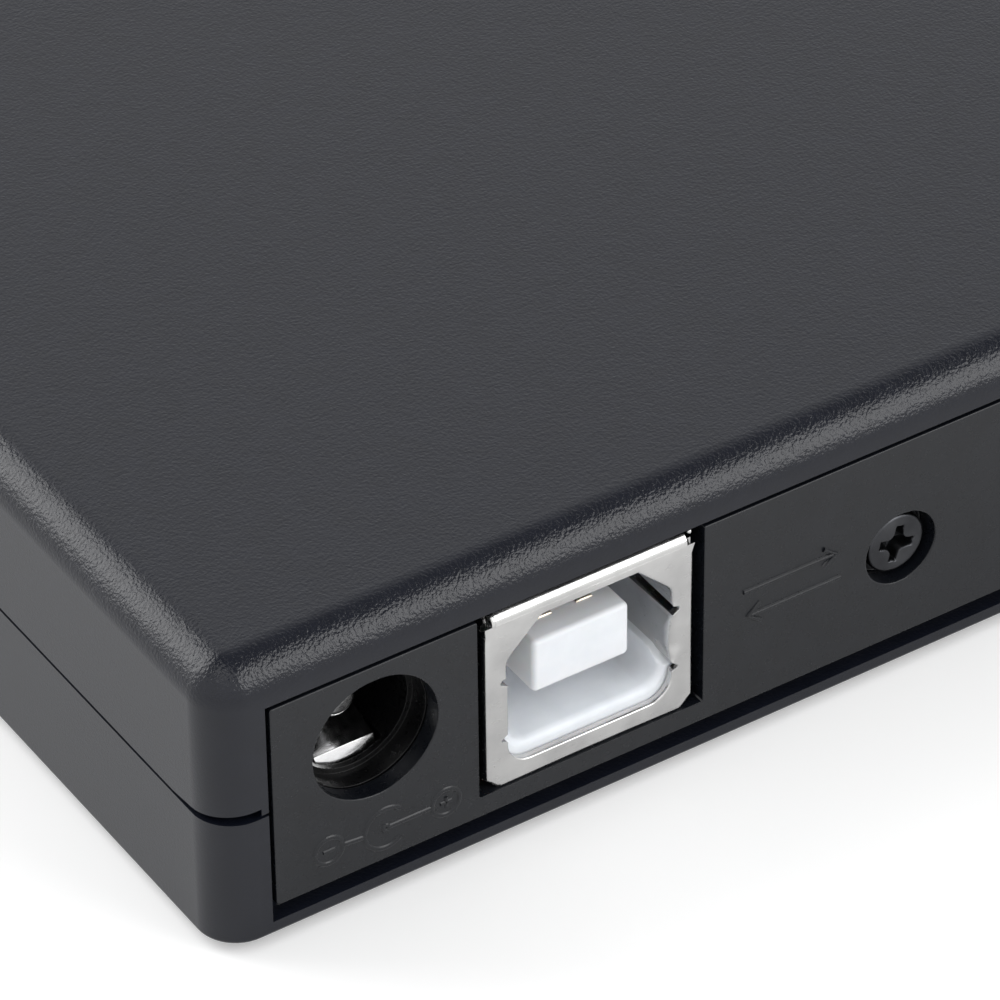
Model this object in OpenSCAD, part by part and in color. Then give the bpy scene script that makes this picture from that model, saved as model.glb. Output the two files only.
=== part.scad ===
// External disc drive: a slim tray drive in a two-shell case with a rear connector bay.
// Millimetres, +Z up, front (tray) at -Y, connectors at +Y, origin under the middle of the case.

/* [Disc and drive] */
// Diameter of the disc
disc_d = 120; // [116:0.5:126]
// Thickness of the disc
disc_t = 1.2; // [1:0.1:1.5]
// Height of the slim drive
drive_h = 12.7; // [12.7:0.1:15]
// Room between the disc and each side of the drive
disc_side_room = 4; // [4:0.1:6]
// Room between the disc and the front edge of the drive
disc_front_room = 3.4; // [3.2:0.1:6]
// Room between the disc and the rear edge of the drive
disc_rear_room = 2.6; // [2.2:0.1:6]
// Sheet thickness of the drive's pan and cover
sheet_t = 0.6; // [0.4:0.1:0.8]

/* [Case] */
// Thickness of the side walls
wall = 2; // [1.6:0.1:3]
// Thickness of the top
top_wall = 1.8; // [1.4:0.1:3]
// Thickness of the floor
floor_t = 1.6; // [1.4:0.1:3]
// Radius of the upright corners and of the top edges
edge_r = 2.2; // [1.2:0.1:3]
// Radius of the bottom edges
bottom_edge = 0.25; // [0.2:0.05:0.9]
// Height of the parting line above the case's underside
lower_h = 7.5; // [6:0.1:8.5]
// Gap at the parting line
parting_gap = 0.18; // [0.1:0.02:0.4]
// Room between the drive and each side wall
side_room = 2; // [1.8:0.1:4]
// Depth of the connector bay behind the drive
bay_d = 26.8; // [26:0.1:40]
// Diameter of the rubber feet
foot_d = 10; // [6:0.5:14]
// Height of the feet below the case
foot_h = 0.8; // [0.4:0.1:2]

/* [Rear panel] */
// Thickness of the rear panel
panel_t = 2.1; // [2:0.1:3]
// Gap between the panel and its opening
panel_gap = 0.25; // [0.1:0.05:0.4]
// Depth of the rim that the panel's flange seats behind
rim_d = 1; // [0.8:0.1:1.2]
// Step from the side wall's inner face to the rear opening
rim_step = 0.9; // [0.6:0.1:1.5]
// Step from the ceiling down to the rear opening
rim_step_top = 0.75; // [0.6:0.05:0.8]
// Step from the floor down to the rear lip
lip_step = 0.8; // [0.3:0.1:0.8]
// Distance from the middle to each panel screw
panel_screw_x = 28.5; // [26:0.5:29]
// Drop from the opening's top to the panel screws
panel_screw_drop = 6.8; // [6:0.1:7.5]
// Diameter of the panel screw heads
panel_screw_head_d = 3.4; // [3:0.1:3.8]

/* [Connectors] */
// Thickness of the bridge board
board_t = 1.2; // [1:0.1:1.3]
// Distance from the opening's side to the middle of the USB socket
socket_inset = 18.25; // [17.5:0.05:19]
// Width of the USB socket
socket_w = 12.04; // [11.5:0.02:12.5]
// Height of the USB socket
socket_h = 11; // [10.4:0.1:11]
// Depth of the USB socket
socket_d = 16.3; // [14:0.1:18]
// Distance from the opening's side to the axis of the current socket
jack_inset = 6; // [5.6:0.05:7]
// Height of the current socket's axis above the board
jack_axis_h = 6.45; // [5:0.05:6.6]
// Bore of the current socket
jack_bore_d = 6.3; // [5.8:0.1:6.8]
// Diameter of the current socket's centre pin
jack_pin_d = 2; // [1.6:0.1:2.5]
// Diameter of the panel's hole over the current socket
jack_hole_d = 7; // [6.6:0.1:7.6]

/* [Tray] */
// Depth of the disc well in the tray
well_depth = 1.3; // [1:0.1:1.6]
// Room round the disc in its well
well_room = 1; // [0.6:0.1:1.4]
// Wall thickness of the tray moulding
tray_wall = 1.5; // [1:0.1:2]
// Thickness of the front bezel
bezel_t = 2.5; // [2.2:0.1:4]
// How far the bezel lies behind the case's front edge
front_inset = 0.3; // [0.3:0.05:1]
// Width of the eject button
button_w = 10; // [6:0.5:14]
// Height of the eject button
button_h = 3; // [2.4:0.1:4]
// Travel of the eject button
button_travel = 0.6; // [0.3:0.05:0.8]

/* [Traverse] */
// Radius of the lens from the spindle at rest
lens_inner_r = 24; // [23.5:0.5:26]
// Radius of the lens at the end of its travel
lens_outer_r = 57.5; // [50:0.5:58]
// Diameter of the guide rods
rod_d = 2; // [1.6:0.1:2.2]
// Diameter of the lead screw
screw_d = 2; // [1.6:0.1:2.2]
// Radius of the spindle's rotor
rotor_r = 12.4; // [11:0.1:12.6]
// Diameter of the hub that centres the disc
hub_d = 14.9; // [14:0.1:15]

/* [Hidden] */
$fn = 48;

// Fits: overlap for clean joins, sliding pieces, shafts, seats, screw holes and threads
eps = 0.01;
run_gap = 0.3;
shaft_gap = 0.03;
seat_gap = 0.1;
hole_gap = 0.2;
rest_gap = 0.25;
thread_depth = 0.25;

// Reach of the traverse into the tray's corner: u runs along the pickup's path, v across it
traverse_angle = -135;
sled_front = 6.5;
stop_gap = 2;
rod_end = lens_outer_r + sled_front + stop_gap;
second_rod_v = -13.5;
lug_w = 3.6;
base_v = [-16.5, 21];
traverse_room = 0.6;
traverse_side = -rod_end * cos(traverse_angle) + (second_rod_v - lug_w / 2) * sin(traverse_angle);
traverse_front = -rod_end * sin(traverse_angle) - base_v[1] * cos(traverse_angle);

// Sheets and runners between the drive's side and the tray
guide_t = 0.6;
rail_t = 0.8;
runner_w = 1.1;
rail_stack = 2 * sheet_t + guide_t + rail_t + 2 * run_gap + runner_w;

// Drive and case envelope: the drive holds both the disc and the traverse
drive_w = 2 * max(disc_d / 2 + disc_side_room, traverse_side + traverse_room + tray_wall + rail_stack);
disc_front = max(disc_d / 2 + disc_front_room, traverse_front + traverse_room + tray_wall - run_gap);
drive_d = disc_front + disc_d / 2 + disc_rear_room;
case_w = drive_w + 2 * (side_room + wall);
case_d = front_inset + bezel_t + run_gap + drive_d + bay_d + panel_t;
case_h = floor_t + drive_h + 2 * rest_gap + top_wall;
half_w = case_w / 2;
half_d = case_d / 2;
case_top = foot_h + case_h;
floor_z = foot_h + floor_t;
ceiling_z = case_top - top_wall;
parting_z = foot_h + lower_h;
inner_w = half_w - wall;
front_rim_d = 2;
front_side_gap = 0.4;
front_open_w = drive_w / 2 + front_side_gap;
rear_open_w = inner_w - rim_step;
rear_open_top = ceiling_z - rim_step_top;
lip_z = floor_z - lip_step;
corner_relief_h = 0.4;
corner_relief_l = 4;

// Joint between the shells: tongue, snap hooks and their catches
tongue_h = 1.2;
tongue_t = wall * 0.4;
hook_y = [-half_d * 0.55, 0, half_d * 0.5];
hook_w = 8;
hook_t = 1.1;
hook_x = inner_w - hole_gap;
hook_drop = 3;
hook_low = parting_z - hook_drop;
hook_nose = [0.7, 0.9];

// Drive in the case
bezel_y = -half_d + front_inset;
tray_y = bezel_y + bezel_t;
pan_y = tray_y + run_gap;
pan_end = pan_y + drive_d;
pan_z = floor_z + rest_gap;
pan_floor = pan_z + sheet_t;
drive_top = pan_z + drive_h;
cover_z = drive_top - sheet_t;
pan_w = drive_w / 2 - sheet_t;
disc_y = pan_y + disc_front;
cover_ear = 4;
cover_screw_x = pan_w - sheet_t - cover_ear / 2;
cover_ear_inset = 2;
cover_screw_y = [pan_y + cover_ear_inset + cover_ear / 2, pan_end - sheet_t - cover_ear / 2];
cover_screw_r = 0.7;
cover_head_r = 1.5;

// Rear panel
panel_y = half_d - panel_t;
panel_z = floor_z + seat_gap;
panel_corner_r = 0.15;
panel_rib_x = [-14, -44];
panel_rib = [1, 2.5, 2];
panel_screw_z = rear_open_top - panel_screw_drop;
panel_screw_d = 2;
panel_screw_l = 5;
head_recess = 0.35;
head_t = 0.95;
head_edge = 0.4;
recess_depth = 0.6;
counterbore_room = 0.4;
counterbore_d = panel_screw_head_d + 2 * counterbore_room;
boss_w = 6;
boss_d = 8.5;

// USB socket, its roof just under the top of the rear opening
socket_x = rear_open_w - socket_inset;
socket_face = half_d - seat_gap;
socket_back = socket_face - socket_d;
socket_fit = 0.05;
socket_top = rear_open_top - socket_fit;
socket_t = 0.4;
socket_bevel = 0.6;
socket_mouth = [9.4, 8.55];
socket_mouth_drop = 1.5;
socket_mouth_chamfer = [2.1, 2.05];
socket_mouth_r = 1.3;
socket_side_z = [socket_top - 8.16, socket_top - 4.67];
socket_roll_r = 0.9;
socket_tab_l = [6, 1];
socket_tab_t = 0.3;
socket_relief_r = 0.25;
insulator_floor = 9.25;
insulator_side = 8.25;
socket_leg = [2, 2];
socket_leg_d = 5;
insulator_face = socket_face - socket_t - socket_fit;
cavity_d = 9;
cavity_end = insulator_face - cavity_d;
tongue_size = [5.6, 3.18];
tongue_inset = 0.8;
tongue_front = socket_face - tongue_inset;
tongue_lift = 0.4;
tongue_z = socket_top - socket_mouth_drop - socket_mouth[1] / 2 + tongue_lift;
contact_w = 0.9;
contact_t = 0.15;
contact_x = 1.25;
contact_sunk = 0.5;
contact_skin = 0.3;
contact_crest = 1.5;
contact_rise = 0.6;
contact_room = 0.1;
contact_back = 2;
contact_slot = [contact_sunk + contact_t + contact_room, contact_skin];
notch_gap = 0.5;

// Connector between the bridge board and the drive
connector_w = 33;
connector_h = 4.2;
connector_inset = 22;
connector_x = drive_w / 2 - connector_inset;
connector_d = 6;
connector_out = 0.5;
plug_w = 28;
plug_t = 1.4;
plug_l = 2.6;

// Bridge board
board_top = socket_top - socket_h;
board_z = board_top - board_t;
board_front_gap = 5.9;
board_rear_gap = 0.4;
board_side = 3.5;
board_edge = 2;
board_y0 = pan_end + board_front_gap;
board_y1 = panel_y - board_rear_gap;
board_x0 = connector_x - connector_w / 2 - board_side;
board_x1 = rear_open_w - board_edge;
notch_room = 0.5;
board_notch = [panel_screw_x + boss_w / 2 + notch_room, boss_d + notch_room];
peg_inset = 4;
board_pegs = [[board_x0 + peg_inset, board_y0 + peg_inset], [board_x1 - peg_inset, board_y0 + peg_inset]];
peg_r = 1;
peg_h = 1;
peg_pad_r = 2.2;
plug_rise = 1.4;
plug_z = board_top + plug_rise;

// Current socket
jack_x = rear_open_w - jack_inset;
jack_z = board_top + jack_axis_h;
jack_front = panel_y - seat_gap;
jack_w = 9;
jack_d = 14;
jack_roof = 4.6;
jack_round = 2.5;
jack_lift = 1;
jack_bore_l = 9.5;
jack_pin_l = 8.5;
jack_pin_round = 0.4;
jack_nose_d = 1;
jack_nose_t = 0.7;
jack_nose_r = jack_hole_d / 2 + jack_nose_t;
jack_nose_y = half_d - jack_nose_d - socket_fit;

// Leaf contact on the floor of the current socket's bore, as depths behind its front and drops below its axis
leaf_t = 0.3;
leaf_w = 3.4;
leaf_low = jack_bore_d / 2;
leaf_bend = leaf_low - 0.57;
leaf_crest = leaf_low - 1.2;
leaf_line = [[0.55, leaf_low], [0.8, leaf_bend], [2.6, leaf_crest], [3.2, leaf_crest], [7, leaf_low],
  [jack_bore_l - seat_gap, leaf_low]];
leaf_slot = leaf_low + leaf_t + seat_gap;

// Case screws, their pillars behind the drive, and the feet
pillar_d = 4.8;
pillar_side_gap = 1;
pillar_front_gap = 0.6;
pillar_low_h = 3.6;
pillar_x = inner_w - pillar_d / 2 - pillar_side_gap;
pillar_y = pan_end + pillar_d / 2 + pillar_front_gap;
pillar_z = floor_z + pillar_low_h;
case_screw_d = 2;
case_screw_l = 5;
case_head_d = 4;
case_head_t = 1.1;
case_head_depth = 1.2;
case_head_seat = foot_h + case_head_depth;
foot_recess = 0.4;
foot_inset = 14;
foot_edge = foot_h * 0.6;

// Telescopic rails: the guide holds the rail, the rail holds the tray's runner
guide_h = 8;
guide_w = pan_w - sheet_t;
rail_z = pan_floor + guide_h / 2;
rail_h = guide_h - 2 * (guide_t + run_gap);
rail_x1 = guide_w - guide_t - run_gap;
runner_h = rail_h - 2 * (rail_t + run_gap);
runner_x1 = rail_x1 - rail_t - run_gap;
tray_w = runner_x1 - runner_w;
channel_x0 = tray_w + run_gap;
guide_front = 1.5;
guide_back = 4;
rail_inset = 2;
guide_y = [pan_y + guide_front, pan_end - guide_back];
rail_y = [guide_y[0] + rail_inset, guide_y[1] - rail_inset];

// Heights and edges of the tray
plate_t = 0.4;
tray_lift = 1.35;
tray_h = 8.3;
slab_t = 1;
tray_z = pan_floor + tray_lift;
deck_z = tray_z + tray_h;
well_z = deck_z - well_depth;
slab_z = well_z - slab_t;
well_r = disc_d / 2 + well_room;
tray_end = disc_y + disc_d / 2 - run_gap;
skirt_inset = 6.5;
skirt_end = tray_end - skirt_inset;
runner_inset = 4;
runner_y0 = tray_y + runner_inset;

// Latch lever on the tray and the pan's post that it hooks
post_r = 1.2;
post_foot_r = 0.85;
lane_w = 3.8;
lane_room = 0.5;
lane_end = tray_w - tray_wall - hole_gap;
post_lane = [lane_end - lane_w, lane_end];
post_back = 16;
post_pos = [post_lane[0] + post_r + 2 * run_gap, tray_y + post_back];
post_rise = 2.4;
post_top = tray_z + post_rise;
latch_arm = [9, 5.5];
latch_pivot = post_pos - latch_arm;
latch_lift = 0.6;
latch_t = 1.4;
latch_z = [tray_z + latch_lift, tray_z + latch_lift + latch_t];
latch_pin_r = 1.2;
latch_eye_r = 2.4;
latch_hook_t = 1.6;
solenoid_size = [13, 7];
solenoid_gap = [2.5, 14.5];

// Traverse in its own frame
base_lift = 0.4;
base_z = tray_z + base_lift;
base_t = 0.8;
base_top = base_z + base_t;
base_r = 3;
rod_rise = 1.8;
rod_z = base_top + rod_rise;
main_rod_v = 14;
screw_v = 19;
lug_l = 2.5;
lug_roof = 0.6;
rod_start = 9;
rod_u = [rod_start, rod_end];
screw_lug_l = 2;
base_back = 22;
base_u = [-base_back, rod_end];
window_start = 14;
window_margin = 3;
window_end = rod_end - window_margin;
window_v = 11.8;
screw_start = 5.8;
screw_short = 6;
screw_u = [screw_start, rod_end - screw_short];
screw_in_motor = 3.8;
motor_r = 2.7;
motor_l = 13;
motor_flange_t = 1;
tab_v = 5;
tab_r = 2;
tab_l = 7.4;
damper_inset = 4;
damper_v = 10;
damper_pos = [[damper_inset - base_back, damper_v], [damper_inset - base_back, -damper_v],
  [rod_end + tab_l - damper_inset, 0]];
damper_r = 3.2;
damper_neck_r = 2.25;
damper_pin_r = 1;
damper_post_r = 2.4;
damper_low = 0.3;
damper_high = 0.75;
damper_z = [base_z - damper_low, base_top + damper_high];

// Spindle
disc_lift = 0.4;
disc_seat_z = well_z + disc_lift;
pad_t = 0.6;
pad_w = 2.9;
rotor_top = disc_seat_z - pad_t;
rotor_gap = 0.75;
rotor_bottom = base_top + rotor_gap;
rotor_wall = 0.8;
rotor_roof = 1.2;
shaft_r = 1;
bearing_r = 2.6;
arm_count = 9;
core_lift = 0.6;
core_t = 2;
arm_z = [rotor_bottom + core_lift, rotor_bottom + core_lift + core_t];
magnet_room = 1.4;
pole_r = rotor_r - rotor_wall - magnet_room;
claw_count = 3;

// Pickup
sled_back = 9.5;
sled_u = [lens_inner_r - sled_back, lens_inner_r + sled_front];
sled_lift = 0.35;
sled_z = tray_z + sled_lift;
shelf_gap = 0.4;
sled_shelf = base_top + shelf_gap;
sled_rise = 2.6;
sled_top = rod_z + sled_rise;
sled_side = 0.4;
bearing_wall = 0.9;
bearing_roof = rod_z + rod_d / 2 + bearing_wall;
bearing_l = 3;
bearing_back = sled_u[0] + 2.5;
bearing_front = sled_u[1] - 1.5;
bearing_u = [[bearing_back, bearing_back + bearing_l], [bearing_front - bearing_l, bearing_front]];
fork_gap = 0.05;
holder_size = [9, 7, 2];
holder_room = 0.5;
holder_sunk = 1.8;
holder_z = sled_top - holder_sunk;
lens_r = 2;
lens_fit = 0.02;
lens_edge = 0.5;
lens_sunk = 0.8;
lens_flange = 0.3;
lens_bulge = 0.45;

// Front controls, on a board under the front of the tray
front_board_t = 1;
front_board_side = 3;
front_board_back = 5;
front_board_z = slab_z - front_board_t;
button_inset = 21.7;
button_drop = 1.2;
button_x = tray_w - button_inset;
button_z = front_board_z - button_drop;
button_flange = 0.8;
flange_t = 0.4;
stem_r = 1;
stem_room = 0.4;
light_offset = 12;
light_x = button_x - light_offset;
light_size = [2.6, 1];
light_in = 1.2;
light_fit = 0.05;
eject_hole_offset = 11;
eject_hole_x = button_x + eject_hole_offset;
eject_hole_d = 1.4;
bezel_w = drive_w / 2 - seat_gap;
bezel_z = [pan_z + seat_gap, drive_top - seat_gap];
bezel_skin = bezel_t - button_travel - flange_t - rest_gap;
bezel_rim = 1.2;
bezel_pad_inset = 4;
bezel_pad_edge = tray_w - bezel_pad_inset;
flange_y = bezel_y + bezel_skin + seat_gap;
switch_back = 3;
switch_y = tray_y + tray_wall + switch_back;
switch_size = [4.4, 3.6, 1.4];

// Ejector at the rear, on the side away from the connector
ejector_inset = 21.7;
ejector_drop = 2.1;
ejector_l = 19;
ejector_x = -tray_w + ejector_inset;
ejector_z = slab_z - ejector_drop;
ejector_r = 1.2;
ejector_head = [0.7, 1];
ejector_y = [skirt_end - ejector_l, pan_end - sheet_t - run_gap];
spring_gap = 0.2;

// Main board under the rear of the tray, and the ribbon that feeds it
main_d = 21.7;
main_back_gap = 1;
main_side_gap = 9.7;
main_lift = 0.6;
main_end = skirt_end - tray_wall - main_back_gap;
main_y = [main_end - main_d, main_end];
main_w = tray_w - main_side_gap;
main_z = tray_z + main_lift;
main_t = 1;
main_post_inset = [4, 3];
main_posts = [for (x = [-1, 1], y = [main_y[0] + main_post_inset[1], main_y[1] - main_post_inset[1]])
  [x * (main_w - main_post_inset[0]), y]];
main_post_r = 2;
tray_travel = 128;
ribbon_w = 18;
ribbon_offset = 4;
ribbon_x = span(connector_x - ribbon_offset, ribbon_w);
ribbon_t = 0.2;
ribbon_landing = 3;
ribbon_spare = 2;
// The fold lies half the tray's travel ahead, so that the ribbon reaches with the tray out
ribbon_turn = main_y[0] + ribbon_landing - tray_travel / 2 - ribbon_spare;
ribbon_slot = 0.6;

// Block between two places on each axis
module block(x, y, z)
  translate([x[0], y[0], z[0]])
    cube([x[1] - x[0], y[1] - y[0], z[1] - z[0]]);

// The same piece on the right and on the left
module both_sides() {
  children();
  mirror([1, 0, 0]) children();
}

// Cylinder along Y between two places
module rod_y(r, y, x = 0, z = 0)
  translate([x, y[0], z]) rotate([-90, 0, 0]) cylinder(r = r, h = y[1] - y[0]);

// Cylinder along u in the traverse's frame
module rod_u(r, u, v, z)
  translate([u[0], v, z]) rotate([0, 90, 0]) cylinder(r = r, h = u[1] - u[0]);

// Upright cylinder between two heights
module post(r, z, x = 0, y = 0)
  translate([x, y, z[0]]) cylinder(r = r, h = z[1] - z[0]);

function arc(cx, cy, r, from, to, n = 6) =
  [for (i = [0:n]) let (a = from + (to - from) * i / n) [cx + r * cos(a), cy + r * sin(a)]];

function rounded(x, y, r) = concat(
  arc(x[1] - r, y[1] - r, r, 0, 90), arc(x[0] + r, y[1] - r, r, 90, 180),
  arc(x[0] + r, y[0] + r, r, 180, 270), arc(x[1] - r, y[0] + r, r, 270, 360));

// Range of a given size round a middle
function span(middle, size) = [middle - size / 2, middle + size / 2];

// Range widened by the same amount at both ends
function widen(range, by) = [range[0] - by, range[1] + by];

// Plate with rounded corners in X and Y
module plate(x, y, r, z)
  translate([0, 0, z[0]]) linear_extrude(z[1] - z[0]) polygon(rounded(x, y, r));

// Plate with rounded corners in X and Z, standing across Y
module upright(x, z, r, y)
  translate([0, y[1], 0]) rotate([90, 0, 0]) linear_extrude(y[1] - y[0]) polygon(rounded(x, z, r));

// Prism across X from an outline drawn in Y and Z
module across(x)
  translate([x[0], 0, 0]) rotate([90, 0, 90]) linear_extrude(x[1] - x[0]) children();

module on_disc_axis() translate([0, disc_y, 0]) children();

module in_traverse() on_disc_axis() rotate([0, 0, traverse_angle]) children();

// Solid of the case between two heights, its four corners turned from one profile
module case_solid(profile)
  hull()
    for (x = [-1, 1], y = [-1, 1])
      translate([x * (half_w - edge_r), y * (half_d - edge_r), 0])
        rotate_extrude() polygon(profile);

// Hollow that both shells leave for the drive and the bay, with both end openings
module case_hollow() {
  block([-inner_w, inner_w], [-half_d + front_rim_d, half_d - rim_d], [floor_z, ceiling_z]);
  block([-front_open_w, front_open_w], [-half_d - eps, 0], [floor_z, ceiling_z]);
  block([-rear_open_w, rear_open_w], [0, half_d + eps], [floor_z, rear_open_top]);
}

module at_feet()
  for (x = [-1, 1], y = [-1, 1])
    translate([x * (half_w - foot_inset), y * (half_d - foot_inset), 0]) children();

module top_cover() color([0.28, 0.285, 0.3]) {
  lip = parting_z + parting_gap;
  edge_steps = 10;
  hook_root = lip + tongue_h + run_gap;
  hole_end = pillar_z + case_screw_l + 1;
  difference() {
    case_solid(concat([[0, lip], [edge_r, lip]], arc(0, case_top - edge_r, edge_r, 0, 90, edge_steps)));
    case_hollow();
    // Rabbet for the lower shell's tongue
    both_sides() block([inner_w - eps, inner_w + tongue_t + seat_gap],
      [-half_d + front_rim_d, half_d - rim_d], [lip - eps, lip + tongue_h]);
    // Parting line opening into a wedge round the rear corners
    both_sides() across(widen([rear_open_w + corner_relief_h, half_w], eps))
      polygon([[half_d - corner_relief_l, lip - eps], [half_d + eps, lip - eps],
        [half_d + eps, lip + corner_relief_h]]);
  }
  // Pillars for the case screws
  both_sides() difference() {
    post(pillar_d / 2, [pillar_z, ceiling_z + eps], pillar_x, pillar_y);
    post(case_screw_d / 2 - hole_gap, [pillar_z - eps, hole_end], pillar_x, pillar_y);
  }
  // Snap hooks along the sides
  both_sides() for (y = hook_y) {
    block([hook_x - hook_t, hook_x], span(y, hook_w), [hook_low, ceiling_z + eps]);
    block([hook_x - eps, inner_w + eps], span(y, hook_w), [hook_root, ceiling_z + eps]);
    translate([hook_x, y + hook_w / 2, hook_low]) rotate([90, 0, 0])
      linear_extrude(hook_w) polygon([[-eps, 0], hook_nose, [-eps, hook_nose[1]]]);
  }
}

module bottom_cover() color([0.26, 0.265, 0.28]) {
  rib_t = 1.2;
  rib_drop = 1;
  rib_y = [pan_y + 18, pan_end - 30];
  stop_h = 5;
  stop_inset = 5;
  pad = [10, 6];
  pad_inset = 9;
  prop = [6, 3];
  prop_gap = 1;
  hole_wall = 0.5;
  drive_edge = drive_w / 2;
  difference() {
    union() {
      difference() {
        case_solid(concat([[0, foot_h]], arc(edge_r - bottom_edge, foot_h + bottom_edge, bottom_edge, -90, 0),
          [[edge_r, parting_z], [0, parting_z]]));
        case_hollow();
        // Rear lip, lower than the floor
        block([-rear_open_w, rear_open_w], [half_d - rim_d, half_d + eps], [lip_z, floor_z + eps]);
        // Catches for the snap hooks
        both_sides() for (y = hook_y)
          block([inner_w - eps, hook_x + hook_nose[0] + run_gap], span(y, hook_w + 2 * run_gap),
            widen([hook_low, hook_low + hook_nose[1]], run_gap));
      }
      // Tongue that enters the upper shell
      both_sides() block([inner_w, inner_w + tongue_t],
        widen([-half_d + front_rim_d, half_d - rim_d], -seat_gap), [parting_z - eps, parting_z + tongue_h]);
      // Pads under the drive and stops beside and behind it
      both_sides() for (y = widen([pan_y, pan_end], -pad_inset))
        block(span(drive_edge - pad_inset, pad[0]), span(y, pad[1]), [floor_z - eps, pan_z]);
      both_sides() for (y = rib_y)
        block([drive_edge + rest_gap, inner_w + eps], [y, y + rib_t], [floor_z - eps, parting_z - rib_drop]);
      both_sides() block(span(board_x0 - stop_inset, pad[1]),
        [pan_end + rest_gap, pan_end + rest_gap + rib_t],
        [floor_z - eps, floor_z + stop_h]);
      // Pads and pegs under the bridge board
      for (p = board_pegs) {
        post(peg_pad_r, [floor_z - eps, board_z], p[0], p[1]);
        post(peg_r, [floor_z - eps, board_top + peg_h], p[0], p[1]);
      }
      block(span(socket_x, prop[0]), [board_y1 - prop[1] - prop_gap, board_y1 - prop_gap],
        [floor_z - eps, board_z]);
      // Bosses for the panel screws
      both_sides() block(span(panel_screw_x, boss_w), [panel_y - seat_gap - boss_d, panel_y - seat_gap],
        [floor_z - eps, panel_screw_z + boss_w / 2]);
      // Seats of the case screws
      both_sides() post(pillar_d / 2, [floor_z - eps, pillar_z], pillar_x, pillar_y);
    }
    both_sides() {
      rod_y(panel_screw_d / 2 - hole_gap, [panel_y - boss_d + hole_wall, panel_y],
        panel_screw_x, panel_screw_z);
      post(case_screw_d / 2 + hole_gap, [foot_h - eps, pillar_z + eps], pillar_x, pillar_y);
      post(case_head_d / 2 + run_gap, [foot_h - eps, case_head_seat], pillar_x, pillar_y);
    }
    at_feet() post(foot_d / 2 + hole_gap, [foot_h - eps, foot_h + foot_recess]);
  }
}

module rear_panel() color([0.24, 0.245, 0.26])
  difference() {
    union() {
      upright(widen([-rear_open_w, rear_open_w], -panel_gap), [panel_z, rear_open_top - panel_gap],
        panel_corner_r, [panel_y, half_d]);
      // Flange behind the rim
      block(widen([-inner_w, inner_w], -run_gap), [panel_y, half_d - rim_d - seat_gap],
        [panel_z, ceiling_z - run_gap]);
      // Stiffening ribs on the back of the blank half
      for (x = panel_rib_x)
        block(span(x, panel_rib[0]), [panel_y - panel_rib[1], panel_y + eps],
          widen([panel_z, rear_open_top], -panel_rib[2]));
    }
    // Notch for the USB socket, open at the top
    block(span(socket_x, socket_w + 2 * notch_gap), widen([panel_y, half_d], eps),
      [board_top - seat_gap, ceiling_z]);
    rod_y(jack_hole_d / 2, widen([panel_y, half_d], eps), jack_x, jack_z);
    rod_y(jack_nose_r + hole_gap, [panel_y - eps, half_d - jack_nose_d], jack_x, jack_z);
    both_sides() {
      rod_y(counterbore_d / 2, [half_d - head_recess - head_t, half_d + eps], panel_screw_x, panel_screw_z);
      rod_y(panel_screw_d / 2 + hole_gap, [panel_y - eps, half_d], panel_screw_x, panel_screw_z);
    }
  }

// Crossed slots in the top of a screw head of the given radius
module cross_recess(r) {
  slot_w = r * 0.42;
  slot_l = r * 1.3;
  for (a = [0, 90]) rotate([0, 0, a])
    translate([-slot_l / 2, -slot_w / 2, -recess_depth]) cube([slot_l, slot_w, recess_depth + eps]);
}

module panel_screws() color([0.2, 0.2, 0.22])
  both_sides() translate([panel_screw_x, half_d - head_recess, panel_screw_z]) rotate([-90, 0, 0])
    difference() {
      r = panel_screw_head_d / 2;
      union() {
        rotate_extrude() polygon(concat([[0, -head_t], [r, -head_t]],
          arc(r - head_edge, -head_edge, head_edge, 0, 90), [[0, 0]]));
        post(panel_screw_d / 2 - thread_depth, [-head_t - panel_screw_l, -head_t + eps]);
      }
      cross_recess(r);
    }

module case_screws() color([0.2, 0.2, 0.22])
  both_sides() translate([pillar_x, pillar_y, 0]) difference() {
    union() {
      post(case_head_d / 2, [case_head_seat - case_head_t, case_head_seat]);
      post(case_screw_d / 2 - thread_depth, [case_head_seat - eps, pillar_z + case_screw_l]);
    }
    translate([0, 0, case_head_seat - case_head_t]) mirror([0, 0, 1]) cross_recess(case_head_d / 2);
  }

module rubber_feet() color([0.12, 0.12, 0.12])
  at_feet()
    rotate_extrude() polygon([[0, 0], [foot_d / 2 - foot_edge, 0], [foot_d / 2, foot_edge],
      [foot_d / 2, foot_h + foot_recess], [0, foot_h + foot_recess]]);

module bridge_board() color([0.1, 0.35, 0.2])
  difference() {
    through = widen([board_z, board_top], eps);
    block([board_x0, board_x1], [board_y0, board_y1], [board_z, board_top]);
    // Cut out round the panel screw's boss
    block([board_x0 - eps, board_notch[0]], [board_y1 - board_notch[1], board_y1 + eps], through);
    for (p = board_pegs) post(peg_r + hole_gap, through, p[0], p[1]);
  }

module bridge_chip() color([0.1, 0.1, 0.1]) {
  chip = [7, 7, 1.1];
  place = [13.5, 5];
  corner_r = 0.3;
  plate(span(board_x0 + place[0], chip[0]), span(board_y0 + place[1], chip[1]), corner_r,
    [board_top, board_top + chip[2]]);
}

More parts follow.
